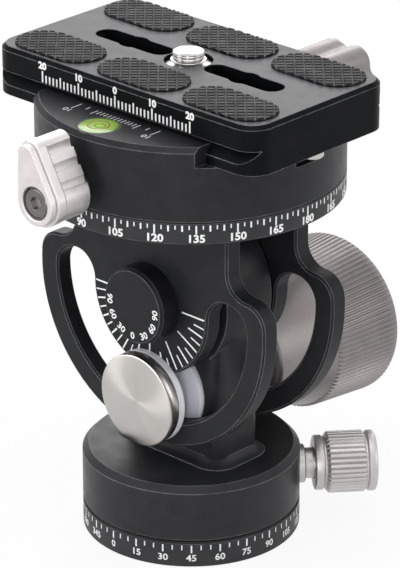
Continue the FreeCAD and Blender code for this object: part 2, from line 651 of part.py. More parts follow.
def cheek_blank(name, front_face):
    """Cheek plate with its neck, round lower edge and curved slot."""
    pivot = S.pivot_height
    thick = S.cheek_thick
    disc = rod(name + "_disc", S.cheek_radius, thick, (0, front_face, pivot), BACK)
    over = block(name + "_over", (S.cheek_radius * 2, thick, S.cheek_radius),
                 (-S.cheek_radius, front_face, pivot + S.shoulder_height))
    low = cut(name + "_low", disc, [over])
    chord_half = root(S.cheek_radius * S.cheek_radius - S.shoulder_height * S.shoulder_height)
    neck_half = chord_half - S.shoulder_run
    neck = block(name + "_neck", (neck_half * 2, thick, S.ring_bottom - pivot),
                 (-neck_half, front_face, pivot))
    plain = fused(name + "_plain", [low, neck])
    doc.recompute()
    soft = doc.addObject("Part::Fillet", name + "_soft")
    soft.Base = plain
    shoulder_z = pivot.value + S.shoulder_height.value
    chosen = []
    for number, edge in enumerate(plain.Shape.Edges, start=1):
        middle = edge.CenterOfMass
        level = abs(middle.z - shoulder_z) < SAME_PLACE
        straight = abs(edge.Length - thick.value) < SAME_PLACE
        if level and straight:
            chosen.append((number, S.shoulder_round.value, S.shoulder_round.value))
    soft.Edges = chosen

    start = front_face - PAST
    across = thick + PAST * 2
    outer = rod(name + "_slot_outer", lock_drop + S.slot_half, across, (0, start, pivot), BACK)
    core = rod(name + "_slot_core", lock_drop - S.slot_half, across + PAST * 2,
               (0, start - PAST, pivot), BACK)
    roof = block(name + "_slot_roof", (S.cheek_radius * 2, across + PAST * 2, S.cheek_radius),
                 (-S.cheek_radius, start - PAST, pivot))
    bow = cut(name + "_slot_bow", outer, [core, roof])
    ends = [rod(f"{name}_slot_end{number}", S.slot_half, across, (lock_drop * side, start, pivot), BACK)
            for number, side in enumerate((-1, 1))]
    slot = fused(name + "_slot", [bow] + ends)
    axle = rod(name + "_axle_way", S.axle_radius + S.fit_gap, across, (0, start, pivot), BACK)
    holes = []
    for number, side in enumerate((-1, 1)):
        low = ring_top - S.cheek_screw_length - S.fit_gap
        holes.append(rod(f"{name}_screw_way{number}", S.small_screw_radius + S.fit_gap,
                         S.cheek_screw_length + PAST,
                         (S.cheek_screw_x * side, front_face + thick / 2, low)))
    return cut(name, soft, [slot, axle] + holes)


def make_yoke():
    """Two cheeks under the upper scale ring, with the tilt axle through them."""
    node(cheek_blank("front_cheek", -cheek_outer), "front_cheek")
    node(cheek_blank("rear_cheek", S.cheek_inner), "rear_cheek")
    middle = S.cheek_inner + S.cheek_thick / 2
    places = [(S.cheek_screw_x * right, middle * back, ring_top) for right in (-1, 1) for back in (-1, 1)]
    screws("cheek_screws", places, S.cheek_screw_length)
    lid_places = round_places(S.lid_screw_circle, 3, 90, spindle_end + S.lid_height)
    lid_bite = S.lid_height + S.screw_bite
    blank = turned("turn_ring_blank", [
        (0, S.ring_bottom), (S.disc_r, S.ring_bottom), (S.disc_r, ring_top), (S.spindle_radius, ring_top),
        (S.spindle_radius, spindle_end), (0, spindle_end)])
    ways = screw_holes("ring_ways", places, S.cheek_screw_length)
    ways += screw_holes("spindle_ways", lid_places, lid_bite)
    node(cut("turn_ring", blank, ways), "turn_ring")
    lid = rod("lid_blank", S.lid_radius, S.lid_height, (0, 0, spindle_end))
    node(cut("top_keeper_disc", lid, screw_holes("lid_ways", lid_places, lid_bite)), "top_keeper_disc")
    screws("top_keeper_screws", lid_places, lid_bite)
    node(ring("top_slip_washer", S.cheek_screw_x + S.cheek_inner, S.disc_r - S.free_gap, S.washer_thin,
              (0, 0, ring_top)), "top_slip_washer")

    half = S.pillar_thick / 2
    gap = S.cheek_inner - half - S.fit_gap
    axle_start = -cheek_outer - S.pivot_cap_height / 2
    axle_length = S.pivot_cap_height / 2 + cheek_outer * 2 + S.axle_nut_height / 2
    node(rod("tilt_axle", S.axle_radius, axle_length, (0, axle_start, S.pivot_height), BACK), "tilt_axle")
    bore = S.axle_radius + S.fit_gap
    lip = S.edge_bevel / 3
    node(turned("pivot_cap", [
        (0, S.pivot_cap_height / 2), (bore, S.pivot_cap_height / 2), (bore, 0), (S.pivot_cap_radius, 0),
        (S.pivot_cap_radius, S.pivot_cap_height - lip), (S.pivot_cap_radius - lip, S.pivot_cap_height),
        (0, S.pivot_cap_height)], (0, -cheek_outer, S.pivot_height), FRONT), "pivot_cap")
    node(turned("axle_nut", [
        (0, S.axle_nut_height / 2), (bore, S.axle_nut_height / 2), (bore, 0), (S.axle_nut_radius, 0),
        (S.axle_nut_radius, S.axle_nut_height), (0, S.axle_nut_height)],
        (0, cheek_outer, S.pivot_height), BACK), "axle_nut")
    node(ring("axle_bush", bore, S.axle_bush_radius, S.pillar_thick, (0, -half, S.pivot_height), BACK),
         "axle_bush")
    node(group("pivot_washers", [
        ring("front_pivot_washer", bore, pivot_washer_radius, gap,
             (0, -half - gap, S.pivot_height), BACK),
        ring("rear_pivot_washer", bore, pivot_washer_radius, gap, (0, half, S.pivot_height), BACK)]),
        "pivot_washers")


def clamp_blank(name, radius_less):
    """Round body of the clamp with its bevelled top edge."""
    radius = S.disc_r - radius_less
    return turned(name, [
        (0, clamp_bottom), (radius, clamp_bottom), (radius, clamp_top - S.clamp_bevel),
        (radius - S.clamp_bevel, clamp_top), (0, clamp_top)])


def make_clamp():
    """Round clamp with its fixed front jaw, bubble level and guide pins."""
    wide = S.disc_r * 2 + PAST
    high = clamp_top + PAST
    channel = drawn("channel", [
        (-S.jaw_half, high), (-S.jaw_half, undercut_top), (-S.jaw_half - S.undercut, undercut_low),
        (-S.jaw_half - S.undercut, floor_height), (S.disc_r + PAST, floor_height),
        (S.disc_r + PAST, high)], wide, (-wide / 2, 0, 0), ALONG_X)
    side = S.tongue_half + S.free_gap / 2
    tongue_low = clamp_bottom + S.tongue_bottom
    tools = [
        channel,
        rod("spindle_way", S.spindle_radius + S.fit_gap, S.clamp_height, (0, 0, clamp_bottom)),
        rod("lid_way", S.lid_radius + S.free_gap, S.clamp_height, (0, 0, spindle_end - S.fit_gap)),
        block("tongue_way", (side + side, S.disc_r, floor_height - tongue_low + PAST + S.free_gap),
              (-side, tongue_face - S.fit_gap, tongue_low - S.free_gap)),
        rod("clamp_screw_way", S.clamp_screw_radius + S.fit_gap, S.disc_r,
            (0, clamp_screw_start - S.free_gap, clamp_axis), BACK),
        rod("lever_shaft_way", S.lever_shaft_radius + S.fit_gap, S.disc_r, (0, 0, lever_axis), FRONT),
        block("knob_flat", (side + side, S.disc_r, S.clamp_height),
              (-side, tongue_outer - S.fit_gap, clamp_bottom)),
        rod("level_way", S.level_radius + S.fit_gap, S.level_depth + PAST,
            (0, -level_y, clamp_top - S.level_depth)),
    ]
    for number, start in enumerate((S.jaw_reach, -S.jaw_reach - S.disc_r)):
        tools.append(block(f"jaw_end{number}", (S.disc_r, wide, S.floor_drop + PAST),
                           (start, -wide / 2, floor_height)))
    track_height = S.stop_height + S.free_gap
    track_length = S.disc_r - S.stop_track_inner + PAST
    for number, start in enumerate((S.stop_track_inner, -S.stop_track_inner - track_length)):
        tools.append(block(f"stop_track{number}", (track_length, S.stop_track_half * 2, track_height + PAST),
                           (start, -S.stop_track_half, floor_height - track_height)))
    pins = []
    for number, right in enumerate((-1, 1)):
        x = S.pin_x * right
        tools.append(rod(f"pin_way{number}", S.pin_radius + S.fit_gap, S.disc_r,
                         (x, pin_inner, pin_axis), BACK))
        pins.append(rod(f"guide_pin{number}", S.pin_radius, pin_outer - pin_inner,
                        (x, pin_inner, pin_axis), BACK))
    body = cut("clamp_body", clamp_blank("clamp_body_blank", 0), tools)
    node(body, "clamp_body")
    node(group("jaw_guide_pins", pins), "jaw_guide_pins")

    cup_bottom = clamp_top - S.level_depth
    wall = S.level_radius - S.level_wall
    cup_top = clamp_top - S.fit_gap
    node(turned("level_cup", [
        (0, cup_bottom), (S.level_radius, cup_bottom), (S.level_radius, cup_top), (wall, cup_top),
        (wall, cup_bottom + S.level_floor), (0, cup_bottom + S.level_floor)], (0, -level_y, 0)),
        "level_cup")
    fluid = wall - S.fit_gap
    fluid_top = cup_top - S.lens_thick
    node(rod("level_fluid", fluid, fluid_top - cup_bottom - S.level_floor,
             (0, -level_y, cup_bottom + S.level_floor)), "level_fluid")
    node(rod("level_lens", fluid, S.lens_thick, (0, -level_y, fluid_top)), "level_lens")


def make_jaw():
    """Sliding rear jaw with its tongue, and the washer under the clamp knob."""
    high = clamp_top + PAST
    foot = floor_height + S.fit_gap
    lip = S.jaw_half + S.plate_aside * 2
    bar = drawn("jaw_bar", [
        (lip, high), (lip, undercut_top), (lip + S.undercut, undercut_low),
        (lip + S.undercut, foot), (S.disc_r + PAST, foot), (S.disc_r + PAST, high)],
        S.jaw_reach * 2, (-S.jaw_reach, 0, 0), ALONG_X)
    tongue_low = clamp_bottom + S.tongue_bottom
    tongue = block("jaw_tongue", (S.tongue_half * 2, S.tongue_thick, foot - tongue_low + S.fit_gap),
                   (-S.tongue_half, tongue_face, tongue_low))
    solid = shared("jaw_solid", fused("jaw_mass", [bar, tongue]), clamp_blank("jaw_round", 0))
    back_face = block("jaw_back_face", (S.tongue_half * 2 + S.free_gap, S.disc_r, foot - clamp_bottom),
                      (-S.tongue_half - S.free_gap / 2, tongue_outer, clamp_bottom))
    ways = [back_face, rod("jaw_screw_way", S.clamp_screw_radius + S.free_gap, S.disc_r,
                           (0, tongue_face - PAST, clamp_axis), BACK)]
    for number, right in enumerate((-1, 1)):
        ways.append(rod(f"jaw_pin_way{number}", S.pin_radius + S.fit_gap,
                        S.tongue_thick + PAST * 2,
                        (S.pin_x * right, tongue_face - PAST, pin_axis), BACK))
    node(cut("rear_jaw", solid, ways), "rear_jaw")
    node(ring("jaw_thrust_washer", S.clamp_screw_radius + S.fit_gap, S.jaw_washer_radius, S.jaw_washer_thick,
              (0, tongue_outer, clamp_axis), BACK), "jaw_thrust_washer")


def make_clamp_knob():
    """Lobed knob and screw that draw the rear jaw in."""
    neck_start = tongue_outer + S.jaw_washer_thick
    bevel = S.edge_bevel
    collar = S.clamp_collar
    length = collar + S.clamp_knob_length
    hole = S.clamp_screw_radius + S.fit_gap
    blank = turned("clamp_knob_blank", [
        (0, length / 2), (hole, length / 2), (hole, 0), (S.clamp_collar_radius, 0),
        (S.clamp_collar_radius, collar),
        (S.clamp_knob_radius - bevel, collar), (S.clamp_knob_radius, collar + bevel),
        (S.clamp_knob_radius, length - bevel), (S.clamp_knob_radius - bevel, length), (0, length)],
        (0, neck_start, clamp_axis), BACK)
    flutes = []
    lobes = 6
    reach = S.clamp_knob_radius + S.flute_radius - S.flute_depth
    for number in range(lobes):
        angle = math.radians(FULL_TURN * (number + 0.5) / lobes)
        at = (reach * math.cos(angle), neck_start + collar, clamp_axis + reach * math.sin(angle))
        flutes.append(rod(f"flute{number}", S.flute_radius, S.clamp_knob_length + PAST, at, BACK))
    node(cut("clamp_knob_grip", blank, flutes), "clamp_knob_grip")
    node(rod("clamp_knob_screw", S.clamp_screw_radius, neck_start + length / 2 - clamp_screw_start,
             (0, clamp_screw_start, clamp_axis), BACK), "clamp_knob_screw")


def teardrop(name, hub, tip, reach, depth, start):
    """Lever outline: a large round end and a small one, joined by tangent lines."""
    rise = (hub - tip) / reach
    run = root(1 - rise * rise)
    web = drawn(name + "_web", [
        (-hub * run, hub * rise), (hub * run, hub * rise), (tip * run, reach + tip * rise),
        (-tip * run, reach + tip * rise)], depth, (0, 0, start))
    hub_end = rod(name + "_hub", hub, depth, (0, 0, start))
    tip_end = rod(name + "_tip", tip, depth, (0, reach, start))
    return fused(name, [web, hub_end, tip_end])


def make_lever():
    """Lever, its shaft and screw, and the brake shoe that holds the clamp's turning."""
    shoe_start = S.spindle_radius + S.fit_gap
    node(rod("top_brake_shoe", S.shoe_radius, S.shoe_length, (0, -shoe_start, lever_axis), FRONT),
         "top_brake_shoe")
    shaft_start = shoe_start + S.shoe_length
    depth = S.lever_body + S.lever_face
    screw_seat = depth - S.lever_screw_recess - S.lever_screw_depth
    lean = math.radians(S.lever_lean.value)
    outward = FreeCAD.Rotation(FreeCAD.Vector(math.cos(lean), 0, math.sin(lean)),
                               FreeCAD.Vector(-math.sin(lean), 0, math.cos(lean)),
                               FreeCAD.Vector(0, -1, 0), "ZXY")
    body = teardrop("lever_body_solid", S.lever_hub, S.lever_tip, S.lever_reach, S.lever_body, 0)
    face = teardrop("lever_face_solid", S.lever_hub - S.lever_step, S.lever_tip - S.lever_step,
                    S.lever_reach, depth, 0)
    solid = fused("lever_solid", [body, face])
    ways = [
        rod("lever_shaft_seat", S.lever_shaft_radius + S.fit_gap, depth + PAST, (0, 0, -PAST)),
        rod("lever_screw_seat", S.lever_screw_radius + S.fit_gap, depth, (0, 0, screw_seat)),
    ]
    handle = cut("lever_handle", solid, ways)
    node(place(handle, (0, -lever_inner, lever_axis), outward), "lever_handle")
    node(rod("lever_shaft", S.lever_shaft_radius, lever_inner + screw_seat - shaft_start,
             (0, -shaft_start, lever_axis), FRONT), "lever_shaft")
    node(rod("lever_screw", S.lever_screw_radius, S.lever_screw_depth,
             (0, -lever_inner - screw_seat, lever_axis), FRONT), "lever_screw")


def make_plate():
    """Camera plate with pads, stop screws and the captive camera screw."""
    middle = S.plate_shift
    aside = S.plate_aside
    chamfer = S.plate_chamfer
    half = S.plate_half
    lip_low = plate_top - S.plate_lip
    foot_top = plate_bottom + S.foot_upright
    # the foot's slope rises at 45 degrees to the lip, along the jaws' undercut
    inner = half - lip_low + foot_top
    profile = [
        (-half, plate_bottom), (half, plate_bottom), (half, foot_top), (inner, lip_low),
        (half, lip_low), (half, plate_top - chamfer), (half - chamfer, plate_top),
        (chamfer - half, plate_top), (-half, plate_top - chamfer), (-half, lip_low),
        (-inner, lip_low), (-half, foot_top)]
    bar = drawn("plate_bar", profile, S.plate_length, (middle - S.plate_length / 2, aside, 0), ALONG_X)
    bounds = rounded_block("plate_bounds", (S.plate_length, half * 2, S.plate_height + PAST),
                           S.plate_corner, (middle, aside, plate_bottom - PAST / 2))
    solid = shared("plate_solid", bar, bounds)
    ways = [
        rod("stud_way", S.stud_radius + S.free_gap, S.plate_height + PAST * 2,
            (middle, aside, plate_bottom - PAST)),
        rod("stud_head_way", S.stud_head_radius + S.free_gap, S.stud_head + S.free_gap * 2 + PAST,
            (middle, aside, plate_bottom - PAST)),
        rod("clip_way", S.clip_radius + S.free_gap, S.clip_sunk + S.clip_height + PAST,
            (middle, aside, plate_top - S.clip_sunk - S.clip_height)),
    ]
    for number, right in enumerate((-1, 1)):
        x = middle + S.slot_x * right
        ways.append(stadium(f"slot_wide{number}", S.slot_length, S.slot_width, S.slot_sink + PAST,
                            (x, aside, plate_top - S.slot_sink)))
        ways.append(stadium(f"slot_narrow{number}", S.slot_length - S.slot_width + S.slot_through,
                            S.slot_through, S.plate_height + PAST * 2, (x, aside, plate_bottom - PAST)))
        ways.append(rod(f"slot_eye{number}", S.slot_eye, S.plate_height + PAST * 2,
                        (x, aside, plate_bottom - PAST)))
        ways.append(rod(f"stop_way{number}", S.stop_thread + S.fit_gap, S.stop_bite + PAST,
                        (middle + S.stop_x * right, aside, plate_bottom - PAST)))
    pads = []
    for column in (-1, 0, 1):
        for row in (-1, 1):
            number = (column + 1) * 2 + (row + 1) // 2
            x = middle + S.pad_pitch * column
            y = aside + S.pad_row * row
            pads.append(stadium(f"pad{number}", S.pad_length, S.pad_width, S.pad_sunk + S.pad_proud,
                                (x, y, plate_top - S.pad_sunk)))
            ways.append(stadium(f"pad_seat{number}", S.pad_length + S.fit_gap * 2,
                                S.pad_width + S.fit_gap * 2,
                                S.pad_sunk + PAST, (x, y, plate_top - S.pad_sunk)))
    node(cut("camera_plate", solid, ways), "camera_plate")
    node(group("grip_pads", pads), "grip_pads")
    stops = []
    for number, right in enumerate((-1, 1)):
        x = middle + S.stop_x * right
        head = rod(f"stop_head{number}", S.stop_radius, S.stop_height,
                   (x, aside, plate_bottom - S.stop_height))
        thread = rod(f"stop_shank{number}", S.stop_thread, S.stop_bite, (x, aside, plate_bottom - S.fit_gap))
        stops.append(fused(f"stop_screw{number}", [head, thread]))
    node(group("stop_screws", stops), "stop_screws")

    head_bottom = plate_bottom + S.free_gap
    head_top = head_bottom + S.stud_head
    top = plate_top + S.stud_proud
    slot_way = block("stud_slot", (S.stud_head_radius * 2 + PAST, S.small_screw_radius, S.small_screw_radius),
                     (middle - S.stud_head_radius - PAST / 2, aside - S.small_screw_radius / 2, head_bottom))
    stud = turned("stud_blank", [
        (0, head_bottom), (S.stud_head_radius, head_bottom), (S.stud_head_radius, head_top),
        (S.stud_neck, head_top), (S.stud_neck, plate_top), (S.stud_radius, plate_top),
        (S.stud_radius, top - S.stud_bevel), (S.stud_radius - S.stud_bevel, top), (0, top)],
        (middle, aside, 0))
    node(cut("camera_screw", stud, [slot_way]), "camera_screw")
    node(ring("screw_clip", S.stud_neck + S.fit_gap, S.clip_radius, S.clip_height,
              (middle, aside, plate_top - S.clip_sunk - S.clip_height)), "screw_clip")


make_base()
make_housing()
make_pan_knob()
make_tilt_lock()
make_yoke()
make_clamp()
make_jaw()
make_clamp_knob()
make_lever()
make_plate()

doc.recompute()
for thing in doc.Objects:
    if "Invalid" in thing.State or "Error" in thing.State:
        raise RuntimeError(f"{thing.Label} failed: {thing.State}")
for thing in NODES:
    if thing.Shape.isNull() or not thing.Shape.isValid():
        raise RuntimeError(f"{thing.Label} has no valid shape")

os.makedirs("parts", exist_ok=True)
for thing in NODES:
    thing.Shape.exportStep(f"parts/{thing.Label}.step")
    print(f"{thing.Label}: {len(thing.Shape.Solids)} solids, {thing.Shape.Volume:.1f} mm3")
print(f"{len(NODES)} nodes")
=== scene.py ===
import math

import bmesh
import bpy
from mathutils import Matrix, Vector


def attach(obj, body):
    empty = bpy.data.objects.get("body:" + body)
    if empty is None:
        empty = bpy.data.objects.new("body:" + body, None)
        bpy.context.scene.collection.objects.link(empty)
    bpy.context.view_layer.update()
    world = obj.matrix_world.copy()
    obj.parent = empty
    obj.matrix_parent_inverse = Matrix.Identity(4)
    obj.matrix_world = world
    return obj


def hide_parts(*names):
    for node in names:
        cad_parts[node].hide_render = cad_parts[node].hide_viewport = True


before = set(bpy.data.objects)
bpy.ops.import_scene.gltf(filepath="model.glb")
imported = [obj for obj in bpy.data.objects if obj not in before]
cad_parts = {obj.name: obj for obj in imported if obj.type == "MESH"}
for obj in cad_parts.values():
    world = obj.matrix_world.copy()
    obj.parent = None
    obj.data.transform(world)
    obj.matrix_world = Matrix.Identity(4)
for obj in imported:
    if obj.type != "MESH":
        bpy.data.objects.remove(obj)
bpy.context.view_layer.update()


# ---------------------------------------------------------------- base ring
# The foot that a tripod's screw is driven into: a turned aluminium ring, blasted and anodised black, with its
# degree scale engraved round the side and filled with white paint. Three screws hold the spindle from below.

mm = 0.001  # pieces are modelled in millimetres and set in place in metres


def new_material(name):
    """New material, with its nodes and their links."""
    material = bpy.data.materials.new(name)
    material.use_nodes = True
    return material, material.node_tree.nodes, material.node_tree.links


def add_node(nodes, kind, sockets=None, **settings):
    """Shader node of one kind, with its settings and the values of its sockets."""
    node = nodes.new("ShaderNode" + kind)
    for key, value in settings.items():
        setattr(node, key, value)
    for socket, value in (sockets or {}).items():
        node.inputs[socket].default_value = value
    return node


def tone_ramp(nodes, *stops):
    """Colour ramp by its stops, each a position and a colour."""
    ramp = add_node(nodes, "ValToRGB")
    elements = ramp.color_ramp.elements
    for number, (position, colour) in enumerate(stops):
        stop = elements[number] if number < 2 else elements.new(position)
        stop.position = position
        stop.color = (*colour, 1)
    return ramp


def surface_finish(name, dark, light, metallic, smoothest, roughest, grain, depth, specular=0.5, edge_highlight=None,
                   round_off=0.25):
    """Finish of a blasted, turned, moulded or painted surface: cloudy tone, fine grain and softly rounded edges.
    A painted highlight of the given colour, broken up by the clouds, lies along the edges if that colour is given.
    The grain's depth and round_off are in millimetres."""
    cloud_share, fine_share = 0.4, 0.6
    material, nodes, links = new_material(name)
    shader = nodes["Principled BSDF"]
    shader.inputs["Metallic"].default_value = metallic
    shader.inputs["Specular IOR Level"].default_value = specular
    spot = add_node(nodes, "TexCoord")
    clouds = add_node(nodes, "TexNoise", {"Scale": 300.0, "Detail": 3})
    fine = add_node(nodes, "TexNoise", {"Scale": grain, "Detail": 2})
    links.new(spot.outputs["Object"], clouds.inputs["Vector"])
    links.new(spot.outputs["Object"], fine.inputs["Vector"])
    cloudy = add_node(nodes, "Math", {1: cloud_share}, operation="MULTIPLY")
    both = add_node(nodes, "Math", {1: fine_share}, operation="MULTIPLY_ADD")
    links.new(clouds.outputs["Fac"], cloudy.inputs[0])
    links.new(fine.outputs["Fac"], both.inputs[0])
    links.new(cloudy.outputs[0], both.inputs[2])
    tone = tone_ramp(nodes, (0.32, dark), (0.68, light))
    links.new(both.outputs[0], tone.inputs["Fac"])
    gloss = add_node(nodes, "MapRange", {"From Min": 0.3, "From Max": 0.7, "To Min": smoothest, "To Max": roughest})
    links.new(clouds.outputs["Fac"], gloss.inputs["Value"])
    links.new(gloss.outputs["Result"], shader.inputs["Roughness"])
    edge = add_node(nodes, "Bevel", {"Radius": round_off * mm}, samples=4)
    bump = add_node(nodes, "Bump", {"Strength": 1.0, "Distance": depth * mm})
    links.new(fine.outputs["Fac"], bump.inputs["Height"])
    links.new(edge.outputs["Normal"], bump.inputs["Normal"])
    links.new(bump.outputs["Normal"], shader.inputs["Normal"])
    colour = tone.outputs["Color"]
    # Painted highlight: the edges are lightened towards the given colour, broken up by the clouds, in place of the
    # light they catch.
    if edge_highlight:
        surface = add_node(nodes, "NewGeometry")
        across = add_node(nodes, "VectorMath", operation="DOT_PRODUCT")
        links.new(edge.outputs["Normal"], across.inputs[0])
        links.new(surface.outputs["Normal"], across.inputs[1])
        highlight_band = add_node(nodes, "MapRange", {"From Min": 0.995, "From Max": 0.9, "To Max": 0.8})
        links.new(across.outputs["Value"], highlight_band.inputs["Value"])
        broken_highlight = add_node(nodes, "Math", operation="MULTIPLY")
        links.new(highlight_band.outputs["Result"], broken_highlight.inputs[0])
        links.new(clouds.outputs["Fac"], broken_highlight.inputs[1])
        mix = add_node(nodes, "Mix", {"B": (*edge_highlight, 1)}, data_type="RGBA")
        links.new(broken_highlight.outputs[0], mix.inputs["Factor"])
        links.new(colour, mix.inputs["A"])
        colour = mix.outputs["Result"]
    links.new(colour, shader.inputs["Base Color"])
    return material


def finish_nodes(material, *names):
    """Gives solids of the frame their finish."""
    for name in names:
        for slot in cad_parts[name].material_slots:
            slot.material = material


def pick(piece):
    """Selects one piece alone and makes it the active one."""
    bpy.ops.object.select_all(action="DESELECT")
    piece.select_set(True)
    bpy.context.view_layer.objects.active = piece


def write_place():
    """Writes the place, turn and scale of what is selected into its mesh."""
    bpy.ops.object.transform_apply(location=True, rotation=True, scale=True)


def set_in_place(piece, at=(0, 0, 0), turn=(0, 0, 0)):
    """Sets a piece modelled in millimetres at its place on the head."""
    pick(piece)
    write_place()
    piece.rotation_euler = turn
    piece.scale = (mm, mm, mm)
    piece.location = [value * mm for value in at]
    write_place()
    return piece


def dress(piece, material, body, slot, *nodes):
    """Gives a finished piece its material, hangs it on its body and hides the solids it stands for; slot is not
    used.
    """
    piece.data.materials.clear()
    piece.data.materials.append(material)
    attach(piece, body)
    if nodes:
        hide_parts(*nodes)
    return piece


paint_thickness = 0.05


def paint_bars(name, bars):
    """Thin slips in one mesh, each from its middle, size and turn."""
    bpy.ops.object.select_all(action="DESELECT")
    for number, (middle, size, turn) in enumerate(bars):
        bpy.ops.mesh.primitive_cube_add(size=1, location=middle, rotation=turn, scale=size)
        if number == 0:
            piece = bpy.context.object
            piece.name = name
            bpy.ops.object.mode_set(mode="EDIT")
    bpy.ops.object.mode_set(mode="OBJECT")
    return piece


def ring_bars(name, radius, bars):
    """Degree marks round a ring, from each mark's angle, lower and upper end and width."""
    slips = []
    for angle, low, high, wide in bars:
        turn = math.radians(angle)
        slips.append(((radius * math.cos(turn), radius * math.sin(turn), (low + high) / 2),
                      (paint_thickness, wide, high - low), (0, 0, turn)))
    return paint_bars(name, slips)


def painted_word(text, size, bold):
    """One number of a scale as a thin mesh lying flat, centred on the origin."""
    stretch = 1.08
    bpy.ops.object.select_all(action="DESELECT")
    bpy.ops.object.text_add(location=(0, 0, 0))
    word = bpy.context.object
    word.data.body = text
    word.data.size = size
    word.data.align_x = "CENTER"
    word.data.align_y = "CENTER"
    word.data.extrude = 0.02
    word.data.offset = bold
    word.data.resolution_u = 3
    bpy.ops.object.convert(target="MESH")
    for corner in word.data.vertices:
        corner.co.x *= stretch
    return word


def joined(name, pieces):
    """Several meshes as one piece."""
    pick(pieces[0])
    for piece in pieces:
        piece.select_set(True)
    bpy.ops.object.join()
    pieces[0].name = name
    return pieces[0]


def scale_words(name, size, bold, words, lay):
    """Numbers of a scale as one piece, from each number's place and text, laid corner by corner by a rule."""
    made = []
    for place, text in words:
        word = painted_word(text, size, bold)
        for corner in word.data.vertices:
            corner.co = lay(place, *corner.co)
        made.append(word)
    return joined(name, made)


def ring_words(name, radius, height, size, bold, words):
    """Numbers bent round a ring, from each number's angle and text."""
    def lay(angle, x, y, z):
        turn = math.radians(angle) + x / radius
        return ((radius + z) * math.cos(turn), (radius + z) * math.sin(turn), height + y)
    return scale_words(name, size, bold, words, lay)


# Its last colour is a painted highlight along the edges, broken up by the clouds.
black_anodised = surface_finish("black_anodised", (0.024, 0.0245, 0.027), (0.038, 0.0385, 0.041), 0.0, 0.36, 0.48,
                                5200.0, 0.006, specular=0.18, edge_highlight=(0.30, 0.30, 0.31))
scale_paint = surface_finish("scale_paint", (0.84, 0.84, 0.84), (0.93, 0.93, 0.93), 0.0, 0.5, 0.7, 3000.0, 0.004)
finish_nodes(black_anodised, "base_ring")

base_radius = 22.4
camera_side = -46.5  # degrees from X at which the photograph looks at the scales
base_zero = camera_side - 45
long_foot, short_foot, mark_top = 3.1, 3.7, 4.75
marks = []
words = []
for value in range(0, 360, 5):
    numbered = value % 15 == 0
    marks.append((base_zero + value, long_foot if numbered else short_foot, mark_top, 0.34 if numbered else 0.26))
    if numbered:
        words.append((base_zero + value, str(value)))
base_marks = set_in_place(ring_bars("base_ring_marks", base_radius, marks))
dress(base_marks, scale_paint, "base", "nylon_white")
base_words = set_in_place(ring_words("base_ring_numbers", base_radius, 1.85, 2.0, 0.045, words))
dress(base_words, scale_paint, "base", "nylon_white")


# ---------------------------------------------------------------- base spindle, screws and thread bush
# Steel parts under and inside the base: the flanged neck that the housing turns on, its three screws, and the
# reducing bush in the tripod thread. All are turned bar, left as machined. A thin nylon washer lies on the ring.

machined_steel = surface_finish("machined_steel", (0.40, 0.40, 0.41), (0.55, 0.55, 0.56), 1.0, 0.24, 0.38,
                                1800.0, 0.003)
finish_nodes(machined_steel, "base_spindle", "base_screws", "thread_bush")
black_nylon = surface_finish("black_nylon", (0.010, 0.010, 0.010), (0.02, 0.02, 0.02), 0.0, 0.5, 0.65,
                             2500.0, 0.004)
finish_nodes(black_nylon, "base_slip_washer")


# ---------------------------------------------------------------- housing and pillar
# One billet of aluminium: a round housing that turns over the base, and the flat pillar that carries the tilt
# axle in its round head. It is turned and milled, with a wide bevel on top; its edges carry a painted highlight.

def turned_piece(name, steps, sides=128, hollow=False):
    """Draws a circle up a profile of (radius, height) steps, as on a lathe."""
    bpy.ops.object.select_all(action="DESELECT")
    bpy.ops.mesh.primitive_circle_add(vertices=sides, radius=steps[0][0], location=(0, 0, steps[0][1]),
                                      fill_type="NOTHING" if hollow else "NGON")
    piece = bpy.context.object
    piece.name = name
    bpy.ops.object.mode_set(mode="EDIT")
    bpy.ops.mesh.select_all(action="SELECT")
    for (radius, height), (next_radius, next_height) in zip(steps, steps[1:]):
        bpy.ops.mesh.extrude_region_move(
            TRANSFORM_OT_translate={"value": (0, 0, next_height - height)})
        share = next_radius / radius
        bpy.ops.transform.resize(value=(share, share, 1), center_override=(0, 0, next_height))
    bpy.ops.mesh.select_all(action="SELECT")
    bpy.ops.mesh.remove_doubles(threshold=0.001)
    bpy.ops.mesh.normals_make_consistent(inside=False)
    bpy.ops.object.mode_set(mode="OBJECT")
    write_place()
    return piece


def smooth(piece, angle=20):
    """Shades the round faces smooth and keeps the crisp edges."""
    pick(piece)
    bpy.ops.object.shade_smooth_by_angle(angle=math.radians(angle))
    return piece


def apply_modifier(piece, kind, **settings):
    """Adds one modifier with its settings and applies it."""
    pick(piece)
    modifier = piece.modifiers.new(kind.lower(), kind)
    for key, value in settings.items():
        setattr(modifier, key, value)
    bpy.ops.object.modifier_apply(modifier=modifier.name)
    return piece


def cut_with(piece, tool, operation="DIFFERENCE"):
    """Cuts, joins or trims a piece with a tool that is then thrown away."""
    apply_modifier(piece, "BOOLEAN", operation=operation, solver="EXACT", object=tool)
    bpy.data.objects.remove(tool)
    return piece


def soften(piece, width, segments=2, angle=30):
    """Breaks the edges of a milled piece with a small bevel."""
    return apply_modifier(piece, "BEVEL", width=width, segments=segments, limit_method="ANGLE",
                          angle_limit=math.radians(angle), harden_normals=False, use_clamp_overlap=True)


def choose(piece, kind, wanted):
    """Opens a piece for editing and selects its corners, edges or faces (VERT, EDGE, FACE) that are wanted."""
    bpy.ops.object.mode_set(mode="EDIT")
    bpy.ops.mesh.select_mode(type=kind)
    bpy.ops.mesh.select_all(action="DESELECT")
    mesh = bmesh.from_edit_mesh(piece.data)
    for part in {"VERT": mesh.verts, "EDGE": mesh.edges, "FACE": mesh.faces}[kind]:
        part.select_set(wanted(part))
    if kind == "VERT":
        mesh.select_flush(False)
    bmesh.update_edit_mesh(piece.data)


